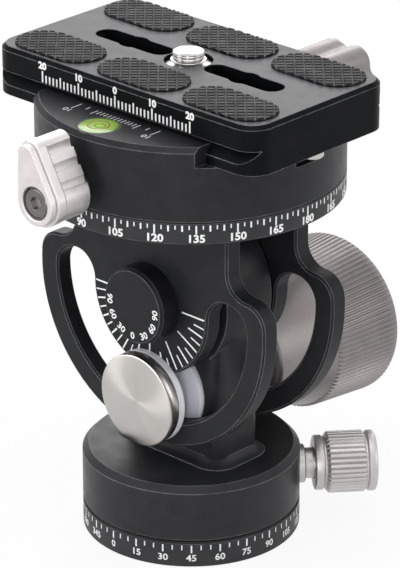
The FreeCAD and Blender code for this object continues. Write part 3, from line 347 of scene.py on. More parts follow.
def milled_block(name, size, at, corner=0.0, segments=8):
    """Block by its size and middle, with its upright edges rounded."""
    bpy.ops.object.select_all(action="DESELECT")
    bpy.ops.mesh.primitive_cube_add(size=1, location=at, scale=size)
    piece = bpy.context.object
    piece.name = name
    write_place()
    if corner:
        choose(piece, "EDGE", lambda edge: abs(abs(edge.verts[0].co.z - edge.verts[1].co.z) - size[2]) < 0.001)
        bpy.ops.mesh.bevel(offset=corner, segments=segments, affect="EDGES")
        bpy.ops.object.mode_set(mode="OBJECT")
    return piece


def round_bar(name, radius, length, at, turn=(0, 0, 0), sides=64):
    """Plain round bar, used as a cutter or a blank."""
    bpy.ops.object.select_all(action="DESELECT")
    bpy.ops.mesh.primitive_cylinder_add(vertices=sides, radius=radius, depth=length, location=at, rotation=turn)
    piece = bpy.context.object
    piece.name = name
    write_place()
    return piece


# Its last colour is a painted highlight along the edges, broken up by the clouds.
housing_black = surface_finish("housing_black", (0.011, 0.0115, 0.0135), (0.023, 0.0235, 0.0265), 0.0, 0.34, 0.46,
                               5200.0, 0.006, specular=0.22, edge_highlight=(0.55, 0.55, 0.56))
housing_top = 17.6
housing = turned_piece("housing_round", [
    (14.0, 5.6), (21.9, 5.6), (22.2, 5.72), (base_radius, 6.0), (base_radius, 16.3), (21.1, housing_top),
    (12.0, housing_top)], sides=160)
set_in_place(smooth(housing))
dress(housing, housing_black, "pan_body", "black_anodised")

axle_height = 53
front_face = (math.radians(90), 0, 0)  # turns a piece that was drawn upwards to the front
axle = (0, 0, axle_height)
pillar = milled_block("pillar", (27, 13.2, 46), (0, 0, 32.0), corner=3.2)
cut_with(pillar, round_bar("pillar_head", 16.0, 13.0, axle, front_face, sides=128), "UNION")
cut_with(pillar, round_bar("axle_way", 5.0, 30, axle, front_face))
soften(pillar, 0.35, 2)
set_in_place(smooth(pillar))
dress(pillar, housing_black, "pan_body", "black_anodised", "pillar_housing")

foot = milled_block("pillar_foot", (31.0, 17.2, 0.4), (0, 0, housing_top), corner=5.2, segments=12)
for rise, share_x, share_y in ((0.35, 29.4 / 31.0, 15.6 / 17.2), (0.55, 28.2 / 29.4, 14.4 / 15.6),
                               (1.0, 27.1 / 28.2, 13.3 / 14.4)):
    bpy.ops.object.mode_set(mode="EDIT")
    top = max(corner.co.z for corner in bmesh.from_edit_mesh(foot.data).verts)
    choose(foot, "FACE", lambda face: min(corner.co.z for corner in face.verts) > top - 0.01)
    bpy.ops.mesh.extrude_region_move(TRANSFORM_OT_translate={"value": (0, 0, rise)})
    bpy.ops.transform.resize(value=(share_x, share_y, 1), center_override=(0, 0, top + rise))
bpy.ops.object.mode_set(mode="OBJECT")
set_in_place(smooth(foot, 50))
dress(foot, housing_black, "pan_body", "black_anodised")

finish_nodes(black_anodised, "pan_keeper_ring")
finish_nodes(machined_steel, "keeper_screws")
bearing_bronze = surface_finish("bearing_bronze", (0.42, 0.29, 0.13), (0.58, 0.42, 0.20), 1.0, 0.28, 0.42,
                                1500.0, 0.003)
finish_nodes(bearing_bronze, "axle_bush", "pan_brake_shoe", "top_brake_shoe", "tilt_knob_insert")


# ---------------------------------------------------------------- small ridged knob of the base
# It tightens a bronze shoe on the spindle. The knob is turned aluminium, blasted and anodised titanium grey,
# with thirty-six straight flats milled along the grip and a smooth collar at each end, on a stepped steel shank.

titanium_grey = surface_finish("titanium_grey", (0.46, 0.435, 0.43), (0.58, 0.55, 0.545), 0.8, 0.34, 0.46,
                               4200.0, 0.006, round_off=0.12)


def flute(piece, low, high, ridges, keep, deep, sides):
    """Presses grooves into the band of a turned piece between two heights. Each ridge keeps its first corners."""
    def in_groove(corner):
        number = round(math.atan2(corner.co.y, corner.co.x) / (2 * math.pi) * sides) % (sides // ridges)
        return low - 0.001 < corner.co.z < high + 0.001 and number >= keep
    pick(piece)
    choose(piece, "VERT", in_groove)
    bpy.ops.transform.resize(value=(1 - deep, 1 - deep, 1), center_override=(0, 0, 0))
    bpy.ops.object.mode_set(mode="OBJECT")
    return piece


pan_knob_place = {"at": (0, 0, 11), "turn": (0, math.radians(90), math.radians(49))}
pan_sides = 144
pan_grip = turned_piece("pan_knob_grip_body", [
    (3.4, 25.9), (3.5, 25.35), (5.3, 25.35), (5.62, 25.5), (5.72, 25.8), (5.72, 26.9), (5.55, 27.2), (5.35, 27.3),
    (5.35, 27.7), (5.75, 27.7), (6.4, 28.3), (6.4, 35.5), (6.15, 35.8), (5.9, 35.85), (5.9, 36.2), (6.1, 36.3),
    (6.3, 36.5), (6.35, 37.5), (6.15, 37.95), (5.7, 38.2), (2.5, 38.2), (2.3, 38.0)], sides=pan_sides)
flute(pan_grip, 27.72, 35.52, 36, 3, 0.07, pan_sides)
set_in_place(smooth(pan_grip, 28), **pan_knob_place)
dress(pan_grip, titanium_grey, "pan_knob", "titanium_grey", "pan_knob_grip")
shank = turned_piece("pan_knob_shank", [
    (2.0, 8.6), (2.0, 21.0), (3.9, 21.0), (4.05, 21.2), (4.05, 23.2), (3.9, 23.4), (3.2, 23.45), (3.2, 26.4)],
    sides=64)
shank_steel = surface_finish("shank_steel", (0.42, 0.40, 0.39), (0.55, 0.53, 0.51), 1.0, 0.3, 0.42, 3000.0, 0.004)
set_in_place(smooth(shank), **pan_knob_place)
dress(shank, shank_steel, "pan_knob", "steel", "pan_knob_screw")


# ---------------------------------------------------------------- tilt lock
# A steel bolt through the pillar clamps both cheeks. In front it ends in a solid stainless disc, faced on a
# lathe so that the light draws a bow tie on it, over a white nylon washer. White sleeves run in the slots.

lock_height = 32.1
spun_stainless, nodes, links = new_material("spun_stainless")
shader = nodes["Principled BSDF"]
shader.inputs["Metallic"].default_value = 1.0
shader.inputs["Anisotropic"].default_value = 0.92
spot = add_node(nodes, "TexCoord")
centre = add_node(nodes, "Mapping", {"Location": (0, 0, -lock_height * mm)}, vector_type="POINT")
rings = add_node(nodes, "TexWave", {"Scale": 1700, "Distortion": 0.6, "Detail": 2},
                 wave_type="RINGS", rings_direction="Y")
tone = tone_ramp(nodes, (0.0, (0.50, 0.475, 0.455)), (1.0, (0.55, 0.525, 0.505)))
gloss = add_node(nodes, "MapRange", {"To Min": 0.28, "To Max": 0.31})
round_lay = add_node(nodes, "Tangent", direction_type="RADIAL", axis="Y")
links.new(spot.outputs["Object"], centre.inputs["Vector"])
links.new(centre.outputs["Vector"], rings.inputs["Vector"])
links.new(rings.outputs["Fac"], tone.inputs["Fac"])
links.new(rings.outputs["Fac"], gloss.inputs["Value"])
links.new(tone.outputs["Color"], shader.inputs["Base Color"])
links.new(gloss.outputs["Result"], shader.inputs["Roughness"])
links.new(round_lay.outputs["Tangent"], shader.inputs["Tangent"])

disc = turned_piece("lock_disc_plate", [
    (9.2, 13.6), (9.65, 13.7), (9.75, 13.9), (9.75, 15.95), (9.68, 16.15), (9.4, 16.3), (0.4, 16.3)], sides=160)
set_in_place(smooth(disc, 40), at=(0, 0, lock_height), turn=front_face)
dress(disc, spun_stainless, "pan_body", "stainless", "lock_disc")

white_nylon = surface_finish("white_nylon", (0.74, 0.74, 0.80), (0.82, 0.82, 0.87), 0.0, 0.42, 0.56,
                             2500.0, 0.004)
finish_nodes(white_nylon, "front_nylon_washer", "slot_sleeves", "inner_nylon_washers", "rear_nylon_washer",
             "pivot_washers")
finish_nodes(machined_steel, "lock_bolt", "tilt_thrust_washer")


# ---------------------------------------------------------------- large ridged knob of the tilt lock
# The nut of the lock bolt: turned aluminium, anodised titanium grey, with a plain cone in front and ninety-six
# straight ridges on the grip, which stand a little proud of the cone. A black cap closes the hollow behind.

knob_grey = surface_finish("knob_grey", (0.21, 0.193, 0.19), (0.28, 0.258, 0.253), 0.8, 0.36, 0.48, 4200.0, 0.006,
                           round_off=0.12)
tilt_sides = 384
knob_grip = turned_piece("tilt_knob_body", [
    (6.0, 14.36), (11.6, 14.36), (12.0, 14.7), (12.3, 15.6), (14.9, 26.2), (15.4, 27.3), (15.6, 27.9),
    (15.7, 27.95), (16.2, 28.5), (17.45, 43.4), (17.35, 44.2), (16.9, 44.95), (16.2, 45.3), (10.2, 45.35),
    (9.6, 45.1), (9.5, 44.7), (9.5, 37.35)], sides=tilt_sides)
flute(knob_grip, 27.93, 44.3, 96, 2, 0.022, tilt_sides)
back_face = (math.radians(-90), 0, 0)  # turns a piece that was drawn upwards to the back
set_in_place(smooth(knob_grip, 26), at=(0, 0, lock_height), turn=back_face)
dress(knob_grip, knob_grey, "tilt_knob", "titanium_grey", "tilt_knob_grip")
finish_nodes(black_anodised, "tilt_knob_cap")


# ---------------------------------------------------------------- cheeks
# Two flat aluminium plates that tilt with the yoke. Each is milled from plate with a curved slot for the lock
# bolt, its edges chamfered and the whole blasted and anodised. Four screws hold them to the upper ring.

# Its last colour is a painted highlight along the edges, broken up by the clouds.
cheek_black = surface_finish("cheek_black", (0.010, 0.0105, 0.0125), (0.021, 0.0215, 0.0245), 0.0, 0.36, 0.46,
                             5600.0, 0.007, specular=0.12, edge_highlight=(0.75, 0.75, 0.76), round_off=0.15)


def solid_copy(name, node):
    """Merged copy of one of the frame's solids, in millimetres, to be worked on."""
    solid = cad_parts[node]
    piece = solid.copy()
    piece.data = solid.data.copy()
    piece.name = name
    bpy.context.scene.collection.objects.link(piece)
    piece.hide_set(False)
    pick(piece)
    bpy.ops.object.mode_set(mode="EDIT")
    bpy.ops.mesh.select_mode(type="VERT")
    bpy.ops.mesh.select_all(action="SELECT")
    bpy.ops.transform.resize(value=(1000, 1000, 1000), center_override=(0, 0, 0))
    bpy.ops.mesh.remove_doubles(threshold=0.002)
    bpy.ops.mesh.dissolve_limited(angle_limit=math.radians(0.3))
    bpy.ops.object.mode_set(mode="OBJECT")
    return piece


def on_outline(edge):
    """Whether an edge runs round a cheek's flat side or its slot, and not round the hole for the axle."""
    if len(edge.link_faces) != 2:
        return False
    flat = [abs(face.normal.y) > 0.999 for face in edge.link_faces]
    axle_hole = all(math.hypot(corner.co.x, corner.co.z - axle_height) < 6 for corner in edge.verts)
    return flat[0] != flat[1] and not axle_hole


def cheek_plate(name, node):
    """Cheek with the chamfer that is milled along its outline and its slot."""
    plate = solid_copy(name, node)
    choose(plate, "EDGE", on_outline)
    bpy.ops.mesh.bevel(offset=0.42, segments=1, affect="EDGES")
    bpy.ops.object.mode_set(mode="OBJECT")
    set_in_place(smooth(plate))
    return dress(plate, cheek_black, "yoke", "black_anodised", node)


cheek_plate("front_cheek_plate", "front_cheek")
cheek_plate("rear_cheek_plate", "rear_cheek")

cheek_face, mark_end = 12.1, 15.0
marks = []
for step in range(-12, 13):
    angle = math.radians(step * 7.5)
    mark_start = 8.9 if step % 4 == 0 else (11.0 if step % 2 == 0 else 12.3)
    middle = (mark_start + mark_end) / 2
    marks.append(((middle * math.sin(angle), -middle * math.cos(angle), cheek_face),
                  (0.3 if step % 2 else 0.36, mark_end - mark_start, paint_thickness), (0, 0, angle)))
tilt_marks = set_in_place(paint_bars("tilt_marks", marks), at=axle, turn=front_face)
dress(tilt_marks, scale_paint, "yoke", "nylon_white")


# ---------------------------------------------------------------- tilt axle, its cap and nut
# The yoke tilts on a steel axle in a bronze bush. Its front end wears a turned black cap with the degrees
# printed round its face, and a steel nut holds it behind.

cap_face, number_radius = 17.0, 6.3
cap = turned_piece("pivot_cap_turned", [
    (7.6, 12.12), (7.9, 12.3), (8.0, 12.6), (8.0, 16.3), (7.6, 16.85), (7.5, cap_face), (0.4, cap_face)], sides=128)
set_in_place(smooth(cap), at=axle, turn=front_face)
dress(cap, cheek_black, "yoke", "black_anodised", "pivot_cap")


def lay_on_cap(step, x, y, z):
    """Turns a number round the cap, thirty degrees a step."""
    turn = math.radians(step * 30)
    y -= number_radius
    return (x * math.cos(turn) - y * math.sin(turn), x * math.sin(turn) + y * math.cos(turn), cap_face + z)


words = [(step, str(abs(step) * 30)) for step in range(-3, 4)]
cap_words = set_in_place(scale_words("pivot_cap_numbers", 2.0, 0.05, words, lay_on_cap), at=axle, turn=front_face)
dress(cap_words, scale_paint, "yoke", "nylon_white")
finish_nodes(machined_steel, "tilt_axle", "axle_nut", "cheek_screws", "top_keeper_disc", "top_keeper_screws")


# ---------------------------------------------------------------- upper scale ring
# The round top of the yoke, turned in one with the upper spindle. Its side carries the second degree scale,
# counted from 0 to 180 and back, and a thin slip washer lies on it.

finish_nodes(black_anodised, "turn_ring")
finish_nodes(black_nylon, "top_slip_washer")
ring_radius, ring_mark_top = 31.0, 78.35
ring_zero = camera_side - 133.2
marks = []
words = []
for step in range(144):
    value = step * 2.5
    mark_foot = 76.55 if value % 15 == 0 else (77.1 if value % 5 == 0 else 77.5)
    marks.append((ring_zero + value, mark_foot, ring_mark_top, 0.36 if value % 5 == 0 else 0.26))
    if value % 15 == 0:
        words.append((ring_zero + value, str(int(min(value, 360 - value)))))
top_marks = set_in_place(ring_bars("turn_ring_marks", ring_radius, marks))
dress(top_marks, scale_paint, "yoke", "nylon_white")
top_words = set_in_place(ring_words("turn_ring_numbers", ring_radius, 75.55, 2.2, 0.08, words))
dress(top_words, scale_paint, "yoke", "nylon_white")


# ---------------------------------------------------------------- clamp
# A round aluminium body with the fixed jaw milled in front, a channel for the plate, and the sliding rear jaw.
# It is turned and milled from bar, blasted and anodised black, and marked on its flat top.

# Its last colour is a painted highlight along the edges, broken up by the clouds.
clamp_black = surface_finish("clamp_black", (0.010, 0.0105, 0.0125), (0.021, 0.0215, 0.0245), 0.0, 0.34, 0.46,
                             5400.0, 0.006, specular=0.18, edge_highlight=(0.55, 0.55, 0.56))
finish_nodes(clamp_black, "clamp_body", "rear_jaw")
finish_nodes(machined_steel, "jaw_guide_pins", "jaw_thrust_washer", "clamp_knob_screw")

clamp_top, end_mark = 94.1, 10.6
strips = [(0.95 * step, -21.25 if step in (-6, 0, 6) else -20.9, 2.2 if step in (-6, 0, 6) else 1.5)
          for step in range(-6, 7)]
for side in (-1, 1):
    strips += [(side * 8.1, -20.6, 1.3), (side * end_mark, -21.2, 3.0)]
marks = [((x, y, clamp_top), (0.2, length, 0.04), (0, 0, 0)) for x, y, length in strips]
clamp_marks = set_in_place(paint_bars("clamp_marks", marks))
dress(clamp_marks, scale_paint, "clamp", "nylon_white")


def lay_on_clamp(side, x, y, z):
    """Lays a number upside down beyond the end mark, as it is read from the front."""
    return (side * end_mark - x, -23.6 - y, clamp_top + z)


clamp_words = set_in_place(scale_words("clamp_numbers", 2.0, 0.0, [(-1, "10"), (1, "10")], lay_on_clamp))
dress(clamp_words, scale_paint, "clamp", "nylon_white")


# ---------------------------------------------------------------- round bubble level
# A cup pressed into the clamp, filled with green spirit under a domed window. A dark red ring is printed on the
# window, and the air bubble stands a little off its middle.

finish_nodes(black_anodised, "level_cup")
level_y = -25.8
glow_scale = 235  # one over the radius, in metres, at which the glow has faded out
spirit, nodes, links = new_material("green_spirit")
shader = nodes["Principled BSDF"]
shader.inputs["Coat Weight"].default_value = 0.35
shader.inputs["Coat Roughness"].default_value = 0.05
shader.inputs["Roughness"].default_value = 0.25
spot = add_node(nodes, "TexCoord")
centre = add_node(nodes, "Mapping", {"Location": (0, -level_y * mm, 0)})
ripples = add_node(nodes, "TexWave", {"Scale": 420, "Distortion": 0.8}, wave_type="RINGS", rings_direction="Z")
# Painted glow and painted shade: the green is painted brightest in the middle of the window and darker towards the
# cup's rim.
glow_place = add_node(nodes, "Mapping", {"Location": (0, -level_y * mm * glow_scale, 0),
                                         "Scale": (glow_scale, glow_scale, 0)})
glow = add_node(nodes, "TexGradient", gradient_type="SPHERICAL")
green = tone_ramp(nodes, (0.0, (0.09, 0.14, 0.07)), (0.22, (0.24, 0.42, 0.03)), (0.7, (0.40, 0.62, 0.06)))
rippled = add_node(nodes, "Mix", {"Factor": 0.25}, data_type="RGBA", blend_type="MULTIPLY")
links.new(spot.outputs["Object"], centre.inputs["Vector"])
links.new(centre.outputs["Vector"], ripples.inputs["Vector"])
links.new(spot.outputs["Object"], glow_place.inputs["Vector"])
links.new(glow_place.outputs["Vector"], glow.inputs["Vector"])
links.new(glow.outputs["Fac"], green.inputs["Fac"])
links.new(green.outputs["Color"], rippled.inputs["A"])
links.new(ripples.outputs["Color"], rippled.inputs["B"])
links.new(rippled.outputs["Result"], shader.inputs["Base Color"])
window = turned_piece("level_window", [
    (4.0, 93.4), (4.0, 94.12), (3.6, 94.17), (2.4, 94.24), (1.2, 94.27), (0.3, 94.28)], sides=96)
set_in_place(smooth(window, 60), at=(0, level_y, 0))
dress(window, spirit, "clamp", "level_green", "level_lens")
finish_nodes(spirit, "level_fluid")


def level_hoop(name, inner, outer, low, high, sides, at, material):
    """Flat hoop on the window, by its two radii and heights."""
    hoop = turned_piece(name, [(inner, low), (outer, low), (outer, high), (inner, high), (inner, low)],
                        sides=sides, hollow=True)
    set_in_place(smooth(hoop), at=at)
    return dress(hoop, material, "clamp", "level_green")


level_red = surface_finish("level_red", (0.20, 0.02, 0.02), (0.28, 0.04, 0.03), 0.0, 0.3, 0.4, 2000.0, 0.002)
level_hoop("level_ring", 2.0, 2.2, 94.15, 94.28, 96, (0, level_y, 0), level_red)
bubble_edge = surface_finish("bubble_edge", (0.10, 0.14, 0.04), (0.20, 0.26, 0.08), 0.0, 0.15, 0.25, 2000.0, 0.002)
level_hoop("level_bubble", 0.95, 1.15, 94.2, 94.31, 64, (0.4, level_y - 0.1, 0), bubble_edge)


# ---------------------------------------------------------------- panning lever
# The teardrop lever that locks the clamp's turning: stainless steel, machined and bead blasted, with a raised
# face and three saw-tooth flutes for the thumb on one flank. A recessed socket screw fixes it to its shaft.

blasted_steel = surface_finish("blasted_steel", (0.60, 0.565, 0.56), (0.72, 0.68, 0.675), 0.9, 0.36, 0.48,
                               4600.0, 0.006, round_off=0.2)
lever_reach = 9.6
lever_place = {"at": (0, 0, 83.1), "turn": (math.radians(90), math.radians(-14), 0)}


def teardrop(name, hub, tip, low, high):
    """Teardrop slab lying flat, its tip along Y, by the radii of its two ends and its two heights."""
    bpy.ops.object.select_all(action="DESELECT")
    bpy.ops.mesh.primitive_circle_add(vertices=96, radius=hub, fill_type="NGON", location=(0, 0, low))
    piece = bpy.context.object
    piece.name = name
    write_place()
    tangent = (hub - tip) / lever_reach
    for corner in piece.data.vertices:
        angle = math.atan2(corner.co.x, corner.co.y)
        if math.cos(angle) > tangent:
            corner.co.x = tip * math.sin(angle)
            corner.co.y = lever_reach + tip * math.cos(angle)
    bpy.ops.object.mode_set(mode="EDIT")
    bpy.ops.mesh.select_all(action="SELECT")
    bpy.ops.mesh.extrude_region_move(TRANSFORM_OT_translate={"value": (0, 0, high - low)})
    bpy.ops.mesh.select_all(action="SELECT")
    bpy.ops.mesh.normals_make_consistent(inside=False)
    bpy.ops.object.mode_set(mode="OBJECT")
    return piece


lever_hub, lever_tip = 5.05, 2.45
lever = teardrop("lever_body", lever_hub, lever_tip, 33.3, 39.6)
flank = math.asin((lever_hub - lever_tip) / lever_reach)
cutter_radius, cutter_out, cutter_height = 3.31, 2.81, 36
for step in (8.7, 5.2, 1.6):
    out = (lever_hub - step * math.sin(flank)) / math.cos(flank)
    scoop = round_bar("flute_cut", cutter_radius, 12, (
        out + cutter_out * math.cos(flank), step + cutter_out * math.sin(flank), cutter_height), sides=96)
    waste = milled_block("flute_step", (16, 8, 14), (0, -4, cutter_height))
    for corner in waste.data.vertices:
        x, y = corner.co.x, corner.co.y
        corner.co.x = out + x * math.cos(flank) + y * math.sin(flank)
        corner.co.y = step + x * math.sin(flank) + y * math.cos(flank)
    cut_with(scoop, waste)
    cut_with(lever, scoop)
soften(lever, 0.12, 1, 35)
set_in_place(smooth(lever, 18), **lever_place)
dress(lever, blasted_steel, "pan_lever", "blasted_steel", "lever_handle")
band = teardrop("lever_band", 5.2, 2.6, 39.6, 41.9)
soften(band, 0.25, 2, 35)
set_in_place(smooth(band), **lever_place)
dress(band, blasted_steel, "pan_lever", "blasted_steel")
face = teardrop("lever_face", 4.6, 2.0, 41.8, 43.3)
cut_with(face, round_bar("screw_seat", 3.35, 4, (0, 0, 43.9), sides=96))
soften(face, 0.25, 2, 35)
set_in_place(smooth(face), **lever_place)
dress(face, blasted_steel, "pan_lever", "blasted_steel")
socket_steel = surface_finish("socket_steel", (0.13, 0.125, 0.12), (0.20, 0.19, 0.18), 0.9, 0.24, 0.36,
                              3000.0, 0.004)
socket_head = turned_piece("lever_screw_head", [
    (1.9, 36.0), (1.9, 41.0), (3.0, 41.2), (3.0, 42.75), (2.75, 43.0), (0.2, 43.0)], sides=96)
cut_with(socket_head, round_bar("socket", 1.45, 3, (0, 0, 43.1), (0, 0, math.radians(15)), sides=6))
set_in_place(smooth(socket_head, 30), **lever_place)
dress(socket_head, socket_steel, "pan_lever", "steel", "lever_screw")
finish_nodes(machined_steel, "lever_shaft")


# ---------------------------------------------------------------- clamp knob
# The six-lobed knob that draws the rear jaw in: turned aluminium with its lobes milled round and softly
# broken edges, anodised titanium grey, on a plain neck.

lobe_count, lobe_depth, neck_radius = 6, 1.9, 5.1
lobes = turned_piece("clamp_knob_body", [
    (3.0, 31.25), (4.8, 31.25), (5.0, 31.45), (5.0, 34.6), (5.2, 34.85), (7.4, 34.9), (8.6, 35.25), (9.3, 36.0),
    (9.5, 37.0), (9.5, 45.7), (9.2, 46.8), (8.4, 47.5), (7.2, 47.8), (3.4, 47.8), (3.2, 47.6), (3.2, 46.6),
    (0.4, 46.6)], sides=192)
for corner in lobes.data.vertices:
    radius = math.hypot(corner.co.x, corner.co.y)
    if radius > neck_radius + 0.05:
        turn = math.atan2(corner.co.y, corner.co.x)
        dip = lobe_depth * (0.5 - 0.5 * math.cos(lobe_count * turn)) ** 1.6
        share = 1 - dip * min(1.0, (radius - neck_radius) / 4.4) / radius
        corner.co.x *= share
        corner.co.y *= share
set_in_place(smooth(lobes, 35), at=(0, 0, 83.5), turn=back_face)
dress(lobes, knob_grey, "clamp_knob", "titanium_grey", "clamp_knob_grip")


# ---------------------------------------------------------------- camera plate
# A milled aluminium plate with a dovetail foot, two stepped accessory slots and six pad seats. Its top is
# fly-cut, and a painted sheen makes it lighter than its black sides; a millimetre rule is engraved along the front
# edge.

# Its last colour is a painted highlight along the edges, broken up by the clouds.
plate_black = surface_finish("plate_black_and_sheen", (0.0025, 0.003, 0.0035), (0.006, 0.0065, 0.0075), 0.0, 0.30, 0.40,
                             5200.0, 0.004, specular=0.05, edge_highlight=(0.70, 0.70, 0.71), round_off=0.2)
nodes, links = plate_black.node_tree.nodes, plate_black.node_tree.links
shader = nodes["Principled BSDF"]
side_tone = shader.inputs["Base Color"].links[0].from_socket
spot = add_node(nodes, "TexCoord")
# Painted sheen: faces that look upward get a far lighter tone than the black sides, in place of the light the top
# reflects; fine cut lines run through it.
facing = add_node(nodes, "SeparateXYZ")
upward = add_node(nodes, "MapRange", {"From Min": 0.9, "From Max": 0.99})
long_grain = add_node(nodes, "Mapping", {"Scale": (0.15, 3.0, 1.0)})
cut_lines = add_node(nodes, "TexNoise", {"Scale": 2400})
sheen_tone = tone_ramp(nodes, (0.3, (0.105, 0.105, 0.109)), (0.7, (0.120, 0.120, 0.124)))
painted_top_sheen = add_node(nodes, "Mix", data_type="RGBA")
links.new(spot.outputs["Normal"], facing.inputs["Vector"])
links.new(facing.outputs["Z"], upward.inputs["Value"])
links.new(spot.outputs["Object"], long_grain.inputs["Vector"])
links.new(long_grain.outputs["Vector"], cut_lines.inputs["Vector"])
links.new(cut_lines.outputs["Fac"], sheen_tone.inputs["Fac"])
links.new(upward.outputs["Result"], painted_top_sheen.inputs["Factor"])
links.new(side_tone, painted_top_sheen.inputs["A"])
links.new(sheen_tone.outputs["Color"], painted_top_sheen.inputs["B"])
links.new(painted_top_sheen.outputs["Result"], shader.inputs["Base Color"])

plate_x, plate_y = -1.3, 0.7
milled_plate = solid_copy("plate_milled", "camera_plate")
blank = milled_block("plate_blank", (70.96, 39.36, 16.18), (plate_x, plate_y, 92.09), corner=5.0, segments=16)
choose(blank, "EDGE", lambda edge: min(corner.co.z for corner in edge.verts) > 100.1)
bpy.ops.mesh.bevel(offset=0.8, segments=1, affect="EDGES")
bpy.ops.object.mode_set(mode="OBJECT")
cut_with(milled_plate, blank, "INTERSECT")
set_in_place(smooth(milled_plate))
dress(milled_plate, plate_black, "plate", "black_anodised", "camera_plate")

rule_zero, rule_foot, rule_words, plate_front = -2.3, 95.4, 98.78, 19.0
marks = []
for offset in range(-20, 21):
    high = 2.35 if offset % 10 == 0 else (2.15 if offset % 5 == 0 else 1.6)
    marks.append(((rule_zero + offset, rule_foot + high / 2, plate_front), (0.4, high, paint_thickness), (0, 0, 0)))
plate_marks = set_in_place(paint_bars("plate_marks", marks), turn=front_face)
dress(plate_marks, scale_paint, "plate", "nylon_white")


def lay_on_plate(offset, x, y, z):
    """Sets a number over its mark on the plate's front edge."""
    return (rule_zero + offset + x, rule_words + y, plate_front + z)


words = [(offset, str(abs(offset))) for offset in range(-20, 21, 10)]
plate_words = set_in_place(scale_words("plate_numbers", 2.0, 0.10, words, lay_on_plate), turn=front_face)
dress(plate_words, scale_paint, "plate", "nylon_white")


# ---------------------------------------------------------------- rubber pads
# Six moulded rubber pads glued in their seats, which keep the camera from turning. Each face is moulded in
# small oblong studs set slantwise across the pad.

pad_rubber = surface_finish("pad_rubber", (0.004, 0.004, 0.005), (0.013, 0.013, 0.015), 0.0, 0.55, 0.72,
                            3800.0, 0.02, specular=0.3, round_off=0.1)
pad_length, pad_width = 21.0, 11.0


def pad_slab(name, low, high):
    """Slab with half-round ends, as long and wide as a pad."""
    return milled_block(name, (pad_length, pad_width, high - low), (0, 0, (low + high) / 2),
                        corner=pad_width / 2 - 0.001, segments=24)


across, deep = 1.83, 1.5
lay = math.radians(43.3)
studs = []
for row in range(-10, 11):
    for column in range(-8, 9):
        x = column * across * math.cos(lay) - row * deep * math.sin(lay)
        y = column * across * math.sin(lay) + row * deep * math.cos(lay)
        if abs(x) < 11.2 and abs(y) < 6.2:
            studs.append(((x, y, 100.46), (across - 0.38, deep - 0.46, 0.56), (0, 0, lay)))
field = paint_bars("pad_studs", studs)
soften(field, 0.08, 1)
cut_with(field, pad_slab("pad_edge", 99.0, 102.0), "INTERSECT")
pads = [joined("pad", [pad_slab("pad_bed", 99.72, 100.48), field])]
for number in range(1, 6):
    pick(pads[0])
    bpy.ops.object.duplicate(linked=False)
    pads.append(bpy.context.object)
for number, pad in enumerate(pads):
    column, row = number % 3 - 1, number // 3 * 2 - 1
    pad.name = f"pad_{number + 1}"
    set_in_place(pad, at=(plate_x + 23.0 * column, plate_y + 12.6 * row, 0))
    dress(pad, pad_rubber, "plate", "rubber")
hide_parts("grip_pads")


# ---------------------------------------------------------------- camera screw, clip and stop screws
# The captive quarter-inch screw is turned steel, polished and plated, kept in the plate by a spring clip. Two
# short stop screws under the plate's ends keep it from sliding out of the clamp.

bright_plate = surface_finish("bright_plate", (0.46, 0.445, 0.43), (0.58, 0.565, 0.55), 1.0, 0.16, 0.26,
                              1500.0, 0.003, round_off=0.1)
screw = turned_piece("camera_screw_turned", [
    (6.9, 90.52), (7.0, 90.7), (7.0, 92.3), (6.8, 92.5), (2.72, 92.5), (2.72, 100.24), (3.45, 100.24),
    (3.6, 100.32), (3.6, 100.42), (3.4, 100.55), (3.0, 100.62), (3.17, 100.85), (3.17, 100.98), (2.95, 101.2),
    (3.17, 101.45), (3.17, 101.62), (2.95, 101.82), (3.12, 101.98), (3.05, 102.08), (2.4, 102.38), (0.4, 102.4)],
    sides=96)
set_in_place(smooth(screw, 28), at=(plate_x, plate_y, 0))
dress(screw, bright_plate, "camera_stud", "chrome", "camera_screw")
finish_nodes(machined_steel, "screw_clip")

stop = turned_piece("stop_left", [
    (1.9, 88.7), (2.2, 88.76), (2.36, 88.95), (2.4, 89.2), (2.4, 90.15), (1.5, 90.17), (1.5, 93.0)], sides=64)
smooth(stop)
bpy.ops.object.duplicate(linked=False)
other_stop = bpy.context.object
other_stop.name = "stop_right"
for one, x in ((stop, -33.9), (other_stop, 31.3)):
    set_in_place(one, at=(x, plate_y, 0))
    dress(one, bright_plate, "plate", "chrome")
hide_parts("stop_screws")


# ---------------------------------------------------------------- studio
# The head stands on a plain pale floor in soft light, seen as in the photograph. The floor and the room show
# white to the camera, in metal and through glass, and light the head more softly than that.

def looked_at(nodes, links):
    """1 where the camera, a reflection or glass looks at a surface, and 0 for light that falls on the head."""
    rays = add_node(nodes, "LightPath")
    either = add_node(nodes, "Math", operation="MAXIMUM")
    any_of = add_node(nodes, "Math", operation="MAXIMUM")
    links.new(rays.outputs["Is Camera Ray"], either.inputs[0])
    links.new(rays.outputs["Is Glossy Ray"], either.inputs[1])
    links.new(either.outputs[0], any_of.inputs[0])
    links.new(rays.outputs["Is Transmission Ray"], any_of.inputs[1])
    return any_of.outputs[0]


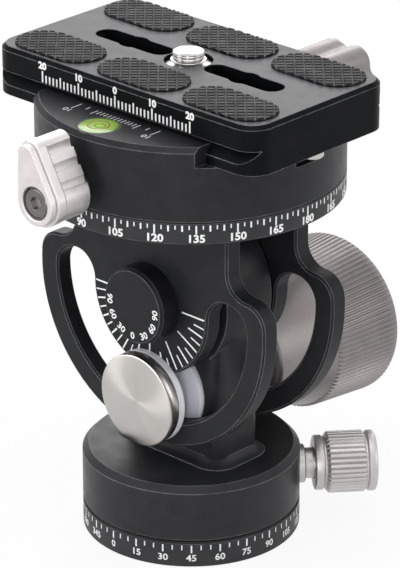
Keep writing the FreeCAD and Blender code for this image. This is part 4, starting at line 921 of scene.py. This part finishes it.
bpy.ops.mesh.primitive_plane_add(size=8, location=(0, 0, -0.0003))
floor = bpy.context.object
floor.name = "floor"
floor_paint, nodes, links = new_material("floor_paint")
shader = nodes["Principled BSDF"]
shader.inputs["Base Color"].default_value = (0.85, 0.85, 0.85, 1)
shader.inputs["Roughness"].default_value = 0.9
shader.inputs["Specular IOR Level"].default_value = 0.1
white = add_node(nodes, "Emission", {"Color": (1, 1, 1, 1), "Strength": 1.0})
share = add_node(nodes, "Math", {1: 0.9}, operation="MULTIPLY")
mix = add_node(nodes, "MixShader")
links.new(looked_at(nodes, links), share.inputs[0])
links.new(share.outputs[0], mix.inputs["Fac"])
links.new(shader.outputs[0], mix.inputs[1])
links.new(white.outputs[0], mix.inputs[2])
links.new(mix.outputs[0], nodes["Material Output"].inputs["Surface"])
floor.data.materials.append(floor_paint)

world = bpy.data.worlds.new("studio")
bpy.context.scene.world = world
world.use_nodes = True
nodes, links = world.node_tree.nodes, world.node_tree.links
nodes.clear()
out = add_node(nodes, "OutputWorld")
soft = add_node(nodes, "Background", {"Color": (0.97, 0.98, 1.0, 1), "Strength": 0.5})
white = add_node(nodes, "Background", {"Color": (1, 1, 1, 1), "Strength": 1.0})
mix = add_node(nodes, "MixShader")
links.new(looked_at(nodes, links), mix.inputs["Fac"])
links.new(soft.outputs[0], mix.inputs[1])
links.new(white.outputs[0], mix.inputs[2])
links.new(mix.outputs[0], out.inputs["Surface"])


def soft_lamp(name, place, size, power, tall=None):
    """Soft box that looks at the middle of the head."""
    bpy.ops.object.light_add(type="AREA", location=place)
    lamp = bpy.context.object
    lamp.name = name
    lamp.data.shape = "RECTANGLE"
    lamp.data.size = size
    lamp.data.size_y = tall or size
    lamp.data.energy = power
    towards = Vector((0, 0, 0.055)) - Vector(place)
    lamp.rotation_euler = towards.to_track_quat("-Z", "Y").to_euler()
    lamp.visible_camera = False


soft_lamp("back_box", (-0.50, 0.53, 0.50), 0.7, 4.0)
soft_lamp("left_box", (-0.35, -0.65, 0.30), 0.4, 2.6)
soft_lamp("front_box", (0.38, -0.52, 0.06), 0.12, 1.4, 0.5)
soft_lamp("right_box", (0.62, 0.30, 0.25), 0.4, 1.0)
soft_lamp("top_box", (0.1, -0.1, 0.8), 0.6, 2.0)

eye = (0.45476, -0.47975, 0.34481)
forward = Vector((-0.62739, 0.66546, -0.40440))
bpy.ops.object.camera_add(location=eye)
camera = bpy.context.object
camera.data.lens = 227.0
camera.data.sensor_width = 36.0
camera.data.clip_start = 0.01
camera.rotation_euler = forward.to_track_quat("-Z", "Y").to_euler()
bpy.context.scene.camera = camera
bpy.context.scene.view_settings.view_transform = "Standard"
